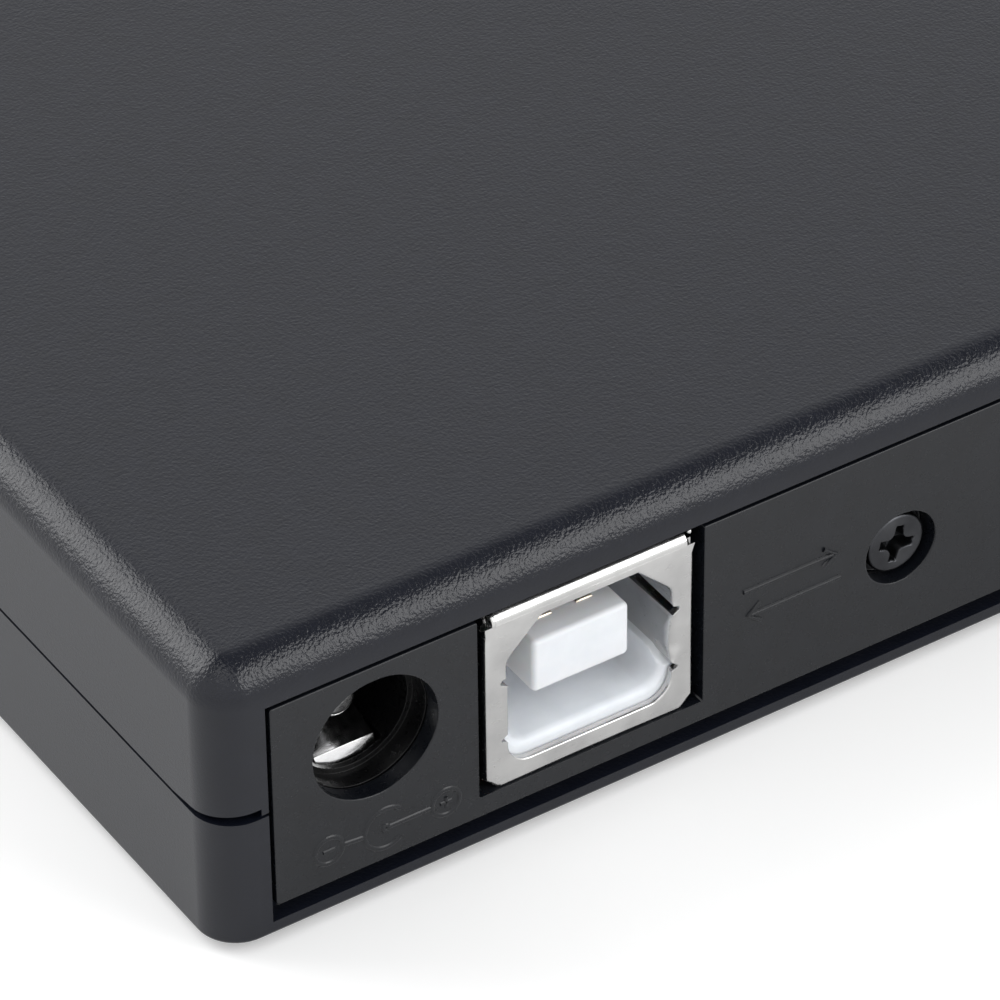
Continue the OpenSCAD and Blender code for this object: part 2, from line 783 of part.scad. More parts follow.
module board_components() color([0.75, 0.75, 0.75]) {
  crystal = [10, 3.6, 3.4];
  crystal_place = [24, 2.8];
  crystal_r = 1.7;
  choke = [3.2, 5, 2.4];
  choke_place = [7.8, 5];
  choke_r = 0.5;
  capacitor = [2.2, 5.4];
  capacitor_place = [7.6, 3.3];
  chip_part = [1.4, 0.7, 0.6];
  chip_place = [2.7, 9];
  pitch = 2.4;
  plate(span(board_x0 + crystal_place[0], crystal[0]), span(board_y0 + crystal_place[1], crystal[1]),
    crystal_r, [board_top, board_top + crystal[2]]);
  plate(span(board_x0 + choke_place[0], choke[0]), span(board_y0 + choke_place[1], choke[1]),
    choke_r, [board_top, board_top + choke[2]]);
  post(capacitor[0], [board_top, board_top + capacitor[1]], board_x1 - capacitor_place[0],
    board_y0 + capacitor_place[1]);
  for (i = [0:3])
    block(span(board_x0 + chip_place[0] + i * pitch, chip_part[0]),
      span(board_y0 + chip_place[1], chip_part[1]), [board_top, board_top + chip_part[2]]);
}

module bridge_connector() color([0.12, 0.12, 0.12]) {
  overhang = 4;
  seat = 0.9;
  housing = [board_y0 - overhang, board_y0 + seat];
  block(span(connector_x, connector_w), housing, [board_top, board_top + connector_h]);
  block(span(connector_x, plug_w), [pan_end - plug_l, housing[0] + eps], [plug_z, plug_z + plug_t]);
}

// Outline of the socket's mouth below the roof, narrowed at its upper corners and round at its lower ones
module socket_mouth_outline(grow = 0) {
  w = socket_mouth[0] / 2 + grow;
  low = -socket_mouth_drop - socket_mouth[1] - grow;
  high = -socket_mouth_drop + grow;
  c = socket_mouth_chamfer;
  r = socket_mouth_r;
  polygon(concat(arc(w - r, low + r, r, 270, 360),
    [[w, high - c[1]], [w - c[0], high], [c[0] - w, high], [-w, high - c[1]]],
    arc(r - w, low + r, r, 180, 270)));
}

// Prism across Y from an outline drawn in X and Z, measured from the socket's roof
module socket_prism(y)
  translate([socket_x, y[1], socket_top]) rotate([90, 0, 0]) linear_extrude(y[1] - y[0]) children();

// Edge of the socket's mouth folded in by a length, between two heights
module socket_tab(l, z) {
  y = [socket_face - l, socket_face - socket_t + eps];
  x = span(socket_x, socket_w);
  difference() {
    socket_prism(y) socket_mouth_outline(socket_tab_t);
    socket_prism(widen(y, eps)) socket_mouth_outline();
    block(x, widen(y, eps), [board_top, z[0]]);
    block(x, widen(y, eps), [z[1], socket_top + eps]);
  }
}

module usb_socket_shell() color([0.78, 0.78, 0.78]) {
  half = socket_w / 2;
  low = -socket_h;
  difference() {
    intersection() {
      socket_prism([socket_back, socket_face])
        polygon([[-half, low + socket_bevel], [-half + socket_bevel, low],
          [half - socket_bevel, low], [half, low + socket_bevel], [half, 0], [-half, 0]]);
      // Roof folded over into the face
      across(widen(span(socket_x, socket_w), eps))
        polygon(concat([[socket_back - eps, board_top - eps], [socket_face, board_top - eps]],
          arc(socket_face - socket_roll_r, socket_top - socket_roll_r, socket_roll_r, 0, 90),
          [[socket_back - eps, socket_top]]));
    }
    block(widen(span(socket_x, socket_w), -socket_t), [socket_back - eps, socket_face - socket_t],
      widen([board_top, socket_top], -socket_t));
    socket_prism([socket_face - 2 * socket_t, socket_face + eps]) socket_mouth_outline();
    // Relief holes at the ends of the folded edges
    for (x = span(socket_x, socket_mouth[0]), z = socket_side_z)
      rod_y(socket_relief_r, [socket_face - 2 * socket_t, socket_face + eps], x, z);
  }
  // Long edges at the sides and short ones above them
  socket_tab(socket_tab_l[0], widen(socket_side_z, -socket_relief_r));
  socket_tab(socket_tab_l[1], [socket_side_z[1] + socket_relief_r, socket_top]);
  // Legs that stand on the board
  for (x = [socket_x - half, socket_x + half - socket_t])
    block([x, x + socket_t], span(socket_face - socket_leg_d, socket_leg[0]),
      [board_top, board_top + socket_leg[1]]);
}

// Places of the contacts on both faces of the tongue, with Z from the face
module at_contacts()
  for (x = [-contact_x, contact_x], side = [0, 1])
    translate([socket_x + x, 0, tongue_z]) mirror([0, 0, side])
      translate([0, 0, tongue_size[1] / 2]) children();

module usb_socket_insulator() color([0.92, 0.92, 0.93])
  difference() {
    inset = socket_t + socket_fit;
    tongue_r = 0.3;
    out = socket_w / 2 - inset;
    in = socket_mouth[0] / 2;
    low = inset - socket_h;
    r = insulator_floor - insulator_side;
    window = contact_rise - contact_t;
    slot_x = widen(span(0, contact_w), contact_room);
    crest_y = tongue_front - contact_crest;
    union() {
      block(widen(span(socket_x, socket_w), -inset), [socket_back, cavity_end + eps],
        widen([board_top, socket_top], -inset));
      // Floor with low sides
      socket_prism([cavity_end, insulator_face]) polygon(concat([[-out, -insulator_side], [-out, low],
        [out, low], [out, -insulator_side]], arc(in - r, -insulator_side, r, 0, -90),
        arc(r - in, -insulator_side, r, -90, -180)));
      upright(span(socket_x, tongue_size[0]), span(tongue_z, tongue_size[1]), tongue_r,
        [cavity_end - eps, tongue_front]);
    }
    at_contacts() {
      block(slot_x, widen([cavity_end - contact_back, crest_y + contact_rise], contact_room), -contact_slot);
      block(slot_x, span(crest_y, 2 * window), [-contact_slot[1] - eps, eps]);
    }
  }

// Spring strips below the tongue's skin, with a crest in each window
module usb_socket_contacts() color([0.85, 0.7, 0.35])
  at_contacts() across(span(0, contact_w)) {
    crest = tongue_front - contact_crest;
    line = [[cavity_end - contact_back, -contact_sunk], [crest - contact_rise, -contact_sunk], [crest, 0],
      [crest + contact_rise, -contact_sunk]];
    polygon(concat(line, [for (i = [len(line) - 1:-1:0]) line[i] - [0, contact_t]]));
  }

module jack_body() color([0.1, 0.1, 0.1])
  difference() {
    union() {
      block(span(jack_x, jack_w), [jack_front - jack_d, jack_front], [board_top, jack_z]);
      upright(span(jack_x, jack_w), [board_top + jack_lift, jack_z + jack_roof], jack_round,
        [jack_front - jack_d, jack_front]);
      // Nose behind the panel's hole
      rod_y(jack_nose_r, [jack_front - eps, jack_nose_y], jack_x, jack_z);
    }
    rod_y(jack_bore_d / 2, [jack_front - jack_bore_l, jack_front + eps], jack_x, jack_z);
    rod_y(jack_hole_d / 2 - socket_fit, [jack_front, jack_nose_y + eps], jack_x, jack_z);
    // Slot of the leaf contact, open to the bore
    block(span(jack_x, leaf_w + 2 * hole_gap),
      [jack_front - jack_bore_l, jack_front - leaf_line[0][0] + hole_gap], [jack_z - leaf_slot, jack_z]);
  }

module jack_pin() color([0.8, 0.8, 0.8])
  translate([jack_x, jack_front - jack_bore_l, jack_z]) rotate([-90, 0, 0])
    rotate_extrude() polygon(concat([[0, 0], [jack_pin_d / 2, 0]],
      arc(jack_pin_d / 2 - jack_pin_round, jack_pin_l - jack_pin_round, jack_pin_round, 0, 90),
      [[0, jack_pin_l]]));

module jack_leaf_contact() color([0.85, 0.85, 0.85])
  across(span(jack_x, leaf_w))
    polygon(concat([for (p = leaf_line) [jack_front - p[0], jack_z - p[1]]],
      [for (i = [len(leaf_line) - 1:-1:0])
        [jack_front - leaf_line[i][0], jack_z - leaf_line[i][1] - leaf_t]]));

module drive_connector() color([0.08, 0.08, 0.08]) {
  out = pan_end + connector_out;
  difference() {
    block(span(connector_x, connector_w), [out - connector_d, out], [pan_floor, board_top + connector_h]);
    block(span(connector_x, plug_w + 2 * hole_gap), [pan_end - plug_l - run_gap, out + eps],
      widen([plug_z, plug_z + plug_t], hole_gap));
  }
}

module at_cover_screws()
  both_sides() for (y = cover_screw_y) translate([cover_screw_x, y, 0]) children();

module chassis_pan() color([0.7, 0.71, 0.72])
  difference() {
    union() {
      block([-pan_w, pan_w], [pan_y, pan_end], [pan_z, pan_floor]);
      both_sides() block([pan_w - sheet_t, pan_w], [pan_y, pan_end], [pan_floor - eps, cover_z]);
      block([-pan_w, pan_w], [pan_end - sheet_t, pan_end], [pan_floor - eps, cover_z]);
      // Ears under the cover's screws
      at_cover_screws() block([-cover_ear / 2, cover_ear / 2 + eps], span(0, cover_ear),
        [cover_z - sheet_t, cover_z]);
    }
    // Opening for the connector
    block(span(connector_x, connector_w + 2 * hole_gap), widen([pan_end - sheet_t, pan_end], eps),
      [pan_floor, board_top + connector_h + hole_gap]);
    at_cover_screws() post(cover_screw_r + seat_gap, [cover_z - 2 * sheet_t, cover_z + eps]);
    post(post_foot_r + shaft_gap, widen([pan_z, pan_floor], eps), post_pos[0], post_pos[1]);
  }

module chassis_cover() color([0.74, 0.75, 0.76])
  difference() {
    skirt_h = 4;
    skirt_inset = 3;
    union() {
      block([-drive_w / 2, drive_w / 2], [pan_y, pan_end], [cover_z, drive_top]);
      both_sides() block([pan_w, drive_w / 2], widen([pan_y, pan_end], -skirt_inset),
        [cover_z - skirt_h, cover_z + eps]);
    }
    at_cover_screws() translate([0, 0, cover_z - eps])
      cylinder(r1 = cover_screw_r + seat_gap, r2 = cover_head_r + seat_gap, h = sheet_t + 2 * eps);
  }

module chassis_screws() color([0.6, 0.6, 0.6])
  at_cover_screws() {
    sunk = 0.02;
    shank_l = 1.6;
    translate([0, 0, cover_z + sunk]) cylinder(r1 = cover_screw_r, r2 = cover_head_r, h = sheet_t - 2 * sunk);
    post(cover_screw_r, [cover_z - shank_l, cover_z + 2 * sunk]);
  }

module latch_post() color([0.75, 0.75, 0.75]) {
  post(post_r, [pan_floor, post_top], post_pos[0], post_pos[1]);
  post(post_foot_r, [pan_z, pan_floor + eps], post_pos[0], post_pos[1]);
}

// Channel open towards the tray, between two widths
module channel(x, h, t, y) {
  block([x[1] - t, x[1]], y, span(rail_z, h));
  for (z = [rail_z - h / 2, rail_z + h / 2 - t])
    block([x[0], x[1] - t + eps], y, [z, z + t]);
}

module right_rail_guide() color([0.65, 0.66, 0.67])
  channel([channel_x0, guide_w], guide_h, guide_t, guide_y);

module left_rail_guide() color([0.65, 0.66, 0.67])
  mirror([1, 0, 0]) channel([channel_x0, guide_w], guide_h, guide_t, guide_y);

module right_rail() color([0.6, 0.61, 0.62])
  channel([channel_x0, rail_x1], rail_h, rail_t, rail_y);

module left_rail() color([0.6, 0.61, 0.62])
  mirror([1, 0, 0]) channel([channel_x0, rail_x1], rail_h, rail_t, rail_y);

// Opening in the tray over the traverse, with its room behind, beside and before the moving pieces
window_room = [1.6, 1.4, 3];
window_r = 3;

module traverse_window(grow, z)
  in_traverse() plate(widen([-rotor_r - window_room[0], rod_end - window_room[2]], grow),
    span(0, 2 * (rotor_r + window_room[1] + grow)), window_r + grow, z);

module tray() color([0.16, 0.16, 0.17]) {
  plate_ledge = 1.6;
  front_wall = widen([tray_y, tray_y + tray_wall], eps);
  rear_wall = widen([skirt_end - tray_wall, skirt_end], eps);
  difference() {
    union() {
      block([-tray_w, tray_w], [tray_y, tray_end], [slab_z, deck_z]);
      // Skirt round the underside
      difference() {
        block([-tray_w, tray_w], [tray_y, skirt_end], [tray_z, slab_z + eps]);
        block(widen([-tray_w, tray_w], -tray_wall), widen([tray_y, skirt_end], -tray_wall),
          [tray_z - eps, slab_z]);
        // Lane for the latch post through the rear wall
        block(post_lane, rear_wall, [tray_z - eps, post_top + lane_room]);
      }
      // Runners in the rails
      both_sides() block([tray_w - eps, runner_x1], [runner_y0, tray_end], span(rail_z, runner_h));
      // Posts for the main board, the dampers and the latch
      for (p = main_posts) post(main_post_r, [main_z + main_t, slab_z + eps], p[0], p[1]);
      in_traverse() for (p = damper_pos) {
        post(damper_post_r, [damper_z[1], slab_z + eps], p[0], p[1]);
        post(damper_pin_r, [base_z, damper_z[1] + eps], p[0], p[1]);
      }
      post(latch_pin_r, [latch_z[0] - hole_gap, slab_z + eps], latch_pivot[0], latch_pivot[1]);
      post(latch_eye_r - hole_gap, [latch_z[1] + seat_gap, slab_z + eps], latch_pivot[0], latch_pivot[1]);
    }
    // Disc well
    on_disc_axis() post(well_r, [well_z, deck_z + eps]);
    traverse_window(0, [tray_z - eps, well_z + eps]);
    traverse_window(plate_ledge, [well_z - plate_t, well_z + eps]);
    // Holes in the front wall for the button's stem, the light pipe and the emergency release
    rod_y(stem_r + stem_room, front_wall, button_x, button_z);
    block(span(light_x, light_size[0] + run_gap), front_wall, span(button_z, light_size[1] + run_gap));
    rod_y(eject_hole_d / 2, front_wall, eject_hole_x, button_z);
    // Ejector's bore in the rear wall
    rod_y(ejector_r + shaft_gap, rear_wall, ejector_x, ejector_z);
  }
}

module bezel() color([0.15, 0.15, 0.16]) {
  corner_r = 0.8;
  button_r = 0.6;
  through = widen([bezel_y, tray_y], eps);
  pocket = [bezel_y + bezel_skin, tray_y + eps];
  opening = [button_w + 2 * run_gap, button_h + 2 * run_gap];
  room = 2 * (button_flange + run_gap);
  difference() {
    upright([-bezel_w, bezel_w], bezel_z, corner_r, [bezel_y, tray_y]);
    // Hollow back on both sides of the pad that meets the tray
    both_sides() block([bezel_pad_edge, bezel_w - bezel_rim], pocket, widen(bezel_z, -bezel_rim));
    upright(span(button_x, opening[0]), span(button_z, opening[1]), button_r, through);
    block(span(button_x, button_w + room), pocket, span(button_z, button_h + room));
    block(widen(span(light_x, light_size[0]), light_fit), through,
      widen(span(button_z, light_size[1]), light_fit));
    rod_y(eject_hole_d / 2, through, eject_hole_x, button_z);
  }
}

module light_pipe() color([0.6, 0.85, 0.6])
  block(span(light_x, light_size[0]), [bezel_y, tray_y + tray_wall + light_in],
    span(button_z, light_size[1]));

module eject_button() color([0.14, 0.14, 0.15]) {
  corner_r = 0.5;
  flange = 2 * button_flange;
  upright(span(button_x, button_w), span(button_z, button_h), corner_r,
    [bezel_y - front_inset, flange_y + eps]);
  block(span(button_x, button_w + flange), [flange_y, flange_y + flange_t],
    span(button_z, button_h + flange));
  rod_y(stem_r, [flange_y, switch_y - button_travel - seat_gap], button_x, button_z);
}

module front_board() color([0.1, 0.35, 0.2])
  block([light_x - front_board_side, latch_pivot[0] - latch_eye_r - run_gap],
    [tray_y + tray_wall + run_gap, switch_y + front_board_back], [front_board_z, slab_z]);

module eject_switch() color([0.75, 0.75, 0.72])
  block(span(button_x, switch_size[0]), [switch_y, switch_y + switch_size[1]],
    [button_z - switch_size[2], front_board_z]);

module tray_bottom_plate() color([0.7, 0.7, 0.72])
  difference() {
    edge = 0.5;
    lane_edge = 1.4;
    slot_y = [main_y[0] - 1, main_y[0] + 6];
    bearing_room = 2.4;
    through = widen([tray_z - plate_t, tray_z], eps);
    block([-tray_w + edge, post_lane[0] - lane_edge], widen([tray_y, skirt_end], -edge),
      [tray_z - plate_t, tray_z]);
    // Slot for the ribbon and hole under the spindle's bearing
    block(widen(ribbon_x, ribbon_slot), slot_y, through);
    on_disc_axis() post(bearing_r + bearing_room, through);
  }

module tray_top_plate() color([0.2, 0.2, 0.21])
  difference() {
    edge = 1.4;
    lens_slot_w = 18;
    lens_slot_end = lens_outer_r + 5;
    lens_slot_r = 2;
    rotor_room = 0.8;
    through = widen([well_z - plate_t, well_z], eps);
    traverse_window(edge, [well_z - plate_t, well_z]);
    on_disc_axis() post(rotor_r + rotor_room, through);
    in_traverse() plate([0, lens_slot_end], span(0, lens_slot_w), lens_slot_r, through);
  }

module main_board() color([0.1, 0.35, 0.2])
  difference() {
    screw_hole_r = 0.6;
    block([-main_w, main_w], main_y, [main_z, main_z + main_t]);
    for (p = main_posts) post(screw_hole_r, widen([main_z, main_z + main_t], eps), p[0], p[1]);
  }

module main_chips() color([0.1, 0.1, 0.1]) {
  top = main_z + main_t;
  mid = (main_y[0] + main_y[1]) / 2;
  corner_r = 0.3;
  // Place across the board and along it, then width, depth and height of each chip
  for (chip = [[-18, 0, 12, 12, 1.2], [0, -2, 8, 6, 1], [19, 0, 10, 10, 1.1]])
    plate(span(chip[0], chip[2]), span(mid + chip[1], chip[3]), corner_r, [top, top + chip[4]]);
}

module latch_solenoid() color([0.6, 0.6, 0.6])
  block(span(latch_pivot[0] - solenoid_gap[0], solenoid_size[0]),
    span(latch_pivot[1] + solenoid_gap[1], solenoid_size[1]), [latch_z[0], slab_z]);

module tray_latch() color([0.85, 0.85, 0.82]) {
  hook = post_pos + [0, post_r + run_gap];
  side = post_pos[0] - post_r - run_gap;
  arm_w = 2.2;
  difference() {
    union() {
      post(latch_eye_r, latch_z, latch_pivot[0], latch_pivot[1]);
      translate([0, 0, latch_z[0]]) linear_extrude(latch_z[1] - latch_z[0])
        polygon([latch_pivot + [-1.4, -1.8], latch_pivot + [1.2, -1.8], [side, post_pos[1] - 2],
          [side, hook[1]], hook + [0.5, 0], hook + [0.2, latch_hook_t],
          [side - arm_w + 0.4, hook[1] + latch_hook_t], [side - arm_w, post_pos[1]],
          latch_pivot + [-1.4, 2]]);
    }
    post(latch_pin_r + shaft_gap, widen(latch_z, eps), latch_pivot[0], latch_pivot[1]);
  }
}

module ejector_pin() color([0.8, 0.8, 0.8]) {
  rod_y(ejector_r, ejector_y, ejector_x, ejector_z);
  rod_y(ejector_r + ejector_head[0], [ejector_y[0] - ejector_head[1], ejector_y[0] + eps],
    ejector_x, ejector_z);
}

module ejector_spring() color([0.75, 0.75, 0.75])
  difference() {
    rod_y(ejector_r + ejector_head[0], [ejector_y[0] + 2 * eps, skirt_end - tray_wall], ejector_x, ejector_z);
    rod_y(ejector_r + spring_gap, [ejector_y[0] - eps, skirt_end], ejector_x, ejector_z);
  }

// Flat ribbon folded once between the pan and the tray
module flex_ribbon() color([0.8, 0.65, 0.35]) {
  lie = 0.02;
  low = pan_floor + lie;
  high = tray_z - plate_t - seat_gap - ribbon_t;
  start = pan_end + connector_out - connector_d - seat_gap;
  end = main_y[0] + ribbon_landing;
  rise = main_z - lie;
  nose = [0.1, 0.3];
  t = ribbon_t;
  turn = ribbon_turn;
  translate([ribbon_x[1], 0, 0]) rotate([0, -90, 0]) linear_extrude(ribbon_x[1] - ribbon_x[0])
    polygon([[low, start], [low, turn], [low + nose[0], turn - nose[1]], [high + t - nose[0], turn - nose[1]],
      [high + t, turn], [high + t, end - t], [rise, end - t], [rise, end], [high, end], [high, turn + t],
      [low + t, turn + t], [low + t, start]]);
}

module traverse_base() color([0.68, 0.69, 0.7])
  in_traverse() difference() {
    through = widen([base_z, base_top], eps);
    lug_top = rod_z + rod_d / 2 + lug_roof;
    motor_room = widen([screw_u[0] - motor_l, screw_u[0]], run_gap);
    union() {
      plate(base_u, base_v, base_r, [base_z, base_top]);
      // Tab to the third damper
      plate([rod_end - base_r, rod_end + tab_l], [-tab_v, tab_v], tab_r, [base_z, base_top]);
      // Lugs that hold the rods and the end of the lead screw
      for (v = [main_rod_v, second_rod_v], u = [rod_u[0], rod_u[1] - lug_l])
        block([u, u + lug_l], span(v, lug_w), [base_z, lug_top]);
      block([screw_u[1] - screw_lug_l, screw_u[1]], span(screw_v, lug_w), [base_z, lug_top]);
    }
    // Window for the sled, and cut out for the motor
    plate([window_start, window_end], [-window_v, window_v], 1, through);
    block(motor_room, [screw_v - motor_r - hole_gap, base_v[1] + eps], through);
    for (v = [main_rod_v, second_rod_v]) rod_u(rod_d / 2, widen(rod_u, eps), v, rod_z);
    rod_u(screw_d / 2 + shaft_gap, widen([screw_u[1] - screw_lug_l, screw_u[1]], eps), screw_v, rod_z);
    for (p = damper_pos) post(damper_neck_r, through, p[0], p[1]);
    // Seat of the spindle's bearing
    post(bearing_r, through);
  }

module dampers() color([0.15, 0.15, 0.15])
  in_traverse() for (p = damper_pos) translate([p[0], p[1], 0])
    rotate_extrude() polygon([[damper_pin_r, damper_z[0]], [damper_r, damper_z[0]], [damper_r, base_z],
      [damper_neck_r, base_z], [damper_neck_r, base_top], [damper_r, base_top], [damper_r, damper_z[1]],
      [damper_pin_r, damper_z[1]]]);

module guide_rods() color([0.85, 0.85, 0.87])
  in_traverse() for (v = [main_rod_v, second_rod_v]) rod_u(rod_d / 2, rod_u, v, rod_z);

module sled_motor() color([0.72, 0.72, 0.74])
  in_traverse() difference() {
    union() {
      rod_u(motor_r, [screw_u[0] - motor_l, screw_u[0]], screw_v, rod_z);
      // Flange that stands on the base
      block([screw_u[0] - motor_flange_t, screw_u[0]],
        [screw_v - motor_r - motor_flange_t, screw_v + motor_r],
        [base_top, rod_z + motor_r]);
    }
    rod_u(screw_d / 2 + shaft_gap, [screw_u[0] - screw_in_motor - hole_gap, screw_u[0] + eps],
      screw_v, rod_z);
  }

module lead_screw() color([0.8, 0.78, 0.7])
  in_traverse() rod_u(screw_d / 2, [screw_u[0] - screw_in_motor, screw_u[1] - seat_gap], screw_v, rod_z);

module spindle_stator() color([0.75, 0.6, 0.4])
  on_disc_axis() difference() {
    plate_h = 0.4;
    plate_r = rotor_r + 0.4;
    bearing_top = rotor_top - rotor_roof - rotor_gap;
    arm_w = 2;
    arm_root = 0.4;
    pole = [1.2, 4.2];
    union() {
      post(plate_r, [base_top, base_top + plate_h]);
      post(bearing_r, [base_z - hole_gap, bearing_top]);
      // Core of nine arms, each with its pole
      for (i = [1:arm_count]) rotate([0, 0, i * 360 / arm_count]) {
        block([bearing_r - arm_root, pole_r - pole[0] + arm_root], span(0, arm_w), arm_z);
        block([pole_r - pole[0], pole_r], span(0, pole[1]), arm_z);
      }
    }
    post(shaft_r + shaft_gap, [base_z, rotor_top]);
  }

module spindle_rotor() color([0.8, 0.8, 0.82])
  on_disc_axis() {
    shaft_z = base_z + run_gap;
    roof_z = rotor_top - rotor_roof;
    inner_r = rotor_r - rotor_wall;
    bevel = 0.3;
    rotate_extrude() polygon([[0, shaft_z], [shaft_r, shaft_z], [shaft_r, roof_z], [inner_r, roof_z],
      [inner_r, rotor_bottom], [rotor_r, rotor_bottom], [rotor_r, rotor_top - bevel],
      [rotor_r - bevel, rotor_top], [0, rotor_top]]);
  }

module turntable_pad() color([0.1, 0.1, 0.1])
  on_disc_axis() difference() {
    pad_edge = 0.3;
    pad_r = rotor_r - pad_edge;
    post(pad_r, [rotor_top, disc_seat_z]);
    post(pad_r - pad_w, widen([rotor_top, disc_seat_z], eps));
  }

module clamp_hub() color([0.85, 0.85, 0.83])
  on_disc_axis() {
    r = hub_d / 2;
    disc_top = disc_seat_z + disc_t;
    rise = 0.5;
    top = disc_top + rise;
    round_r = 1;
    claw_in = 0.35;
    claw_lift = 0.05;
    dimple = [2.2, 1.8, 0.5];
    slit = 0.4;
    slit_l = 3;
    claw = [0.5, 2];
    difference() {
      rotate_extrude() polygon(concat([[0, rotor_top], [r, rotor_top]],
        arc(r - round_r, top - round_r, round_r, 0, 90),
        [[dimple[0], top], [dimple[1], top - dimple[2]], [0, top - dimple[2]]]));
      for (i = [1:claw_count], s = [-1, 1]) rotate([0, 0, 90 + i * 360 / claw_count])
        block([r - slit_l, r + eps], span(s * (claw[1] - hole_gap), slit), [disc_seat_z, top + eps]);
    }
    // Claws that hold the disc down
    for (i = [1:claw_count]) rotate([0, 0, 90 + i * 360 / claw_count])
      translate([r - claw_in, 0, disc_top + claw_lift]) rotate([90, 0, 0])
        cylinder(r = claw[0], h = claw[1], center = true);
  }

module pickup_sled() color([0.55, 0.56, 0.58])
  in_traverse() difference() {
    half = window_v - sled_side;
    belly_u = [sled_u[0] + stop_gap, sled_u[1] - stop_gap];
    fork_gap_u = 0.8;
    fork_u = [bearing_u[0][1] + fork_gap_u, bearing_u[1][0] - fork_gap_u];
    fork_l = 2;
    bearing_side = 2.3;
    pocket_d = 0.9;
    rotor_room = 1;
    arm_h = 1.6;
    rod_room = 3;
    union() {
      block(sled_u, [-half, half], [sled_shelf, sled_top]);
      block(belly_u, widen([-half, half], -sled_side), [sled_z, sled_shelf + eps]);
      // Bearings on the main rod
      for (u = bearing_u) block(u, [half - seat_gap, main_rod_v + bearing_side], [sled_shelf, bearing_roof]);
      // Fork on the second rod
      block(fork_u, [second_rod_v - fork_l, -half + seat_gap], [sled_shelf, bearing_roof]);
      // Arm to the lead screw
      block(bearing_u[0], [main_rod_v + bearing_side - eps, screw_v - screw_d / 2 - hole_gap],
        span(rod_z, arm_h));
    }
    // Room for the rotor
    post(rotor_r + rotor_room, [base_z - base_t, sled_top + eps]);
    // Pocket of the lens holder
    plate(span(lens_inner_r, holder_size[0] + 2 * holder_room), span(0, holder_size[1] + 2 * holder_room),
      holder_room, [holder_z - pocket_d, sled_top + eps]);
    rod_u(rod_d / 2 + shaft_gap, sled_u, main_rod_v, rod_z);
    block(sled_u, [second_rod_v - rod_room, second_rod_v + rod_d / 2 + fork_gap],
      span(rod_z, rod_d + 2 * fork_gap));
  }

module lens_holder() color([0.2, 0.2, 0.22])
  in_traverse() difference() {
    corner_r = 0.8;
    z = [holder_z, holder_z + holder_size[2]];
    plate(span(lens_inner_r, holder_size[0]), span(0, holder_size[1]), corner_r, z);
    post(lens_r, widen(z, eps), lens_inner_r, 0);
  }

module objective_lens() color([0.7, 0.75, 0.85])
  in_traverse() translate([lens_inner_r, 0, holder_z + holder_size[2] - lens_sunk]) {
    rim = lens_r - lens_fit;
    clear_r = rim - lens_flange;
    steps = 6;
    rotate_extrude() polygon(concat([[0, 0], [rim, 0], [rim, lens_edge]],
      [for (i = [0:steps]) [clear_r * cos(i * 90 / steps), lens_edge + lens_bulge * sin(i * 90 / steps)]]));
  }

top_cover();
bottom_cover();
rear_panel();
panel_screws();
case_screws();
rubber_feet();
bridge_board();
bridge_chip();
board_components();
bridge_connector();
usb_socket_shell();
usb_socket_insulator();
usb_socket_contacts();
jack_body();
jack_pin();
jack_leaf_contact();
chassis_pan();
chassis_cover();
chassis_screws();
drive_connector();
latch_post();
left_rail_guide();
right_rail_guide();
left_rail();
right_rail();
tray();
bezel();
light_pipe();
tray_bottom_plate();
tray_top_plate();
main_board();
main_chips();
front_board();
eject_switch();
latch_solenoid();
tray_latch();
ejector_pin();
ejector_spring();
flex_ribbon();
eject_button();
traverse_base();
dampers();
guide_rods();
sled_motor();
lead_screw();
spindle_stator();
spindle_rotor();
turntable_pad();
clamp_hub();
pickup_sled();
lens_holder();
objective_lens();
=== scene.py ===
import bpy
import bmesh
import math
from mathutils import Matrix, Vector


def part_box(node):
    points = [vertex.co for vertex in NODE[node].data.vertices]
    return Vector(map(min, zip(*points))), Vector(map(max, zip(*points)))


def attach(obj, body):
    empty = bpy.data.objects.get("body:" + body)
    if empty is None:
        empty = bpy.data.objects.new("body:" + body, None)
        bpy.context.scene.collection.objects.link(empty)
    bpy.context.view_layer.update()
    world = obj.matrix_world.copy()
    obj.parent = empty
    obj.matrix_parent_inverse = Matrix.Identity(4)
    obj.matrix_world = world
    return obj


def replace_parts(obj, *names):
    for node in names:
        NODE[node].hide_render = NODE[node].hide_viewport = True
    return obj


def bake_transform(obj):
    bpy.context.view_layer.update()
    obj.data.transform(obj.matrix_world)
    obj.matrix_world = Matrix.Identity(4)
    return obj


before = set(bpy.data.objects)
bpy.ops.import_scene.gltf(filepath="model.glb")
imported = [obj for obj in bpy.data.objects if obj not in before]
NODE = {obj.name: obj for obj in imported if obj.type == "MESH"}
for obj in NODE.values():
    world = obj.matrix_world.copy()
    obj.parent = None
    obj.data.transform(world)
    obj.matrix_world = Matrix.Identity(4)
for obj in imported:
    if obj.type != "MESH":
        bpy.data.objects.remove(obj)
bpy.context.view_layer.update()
MM = 0.001


def cad_box(node):
    """Lowest and highest corner of a CAD node, in mm, to the nearest micrometre."""
    return [tuple(round(v / MM, 3) for v in corner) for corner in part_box(node)]


def add_object(name, data):
    """New object of the scene, which holds a mesh, a lamp or a camera."""
    obj = bpy.data.objects.new(name, data)
    bpy.context.collection.objects.link(obj)
    return obj


# Camera at the photograph's view, on the rear corner: its place in metres, and its directions
CAMERA_PLACE = (0.1823, 0.2806, 0.21114)
CAMERA_RIGHT = (-0.836, 0.5486, -0.0088)
CAMERA_AHEAD = (-0.4258, -0.6589, -0.6201)


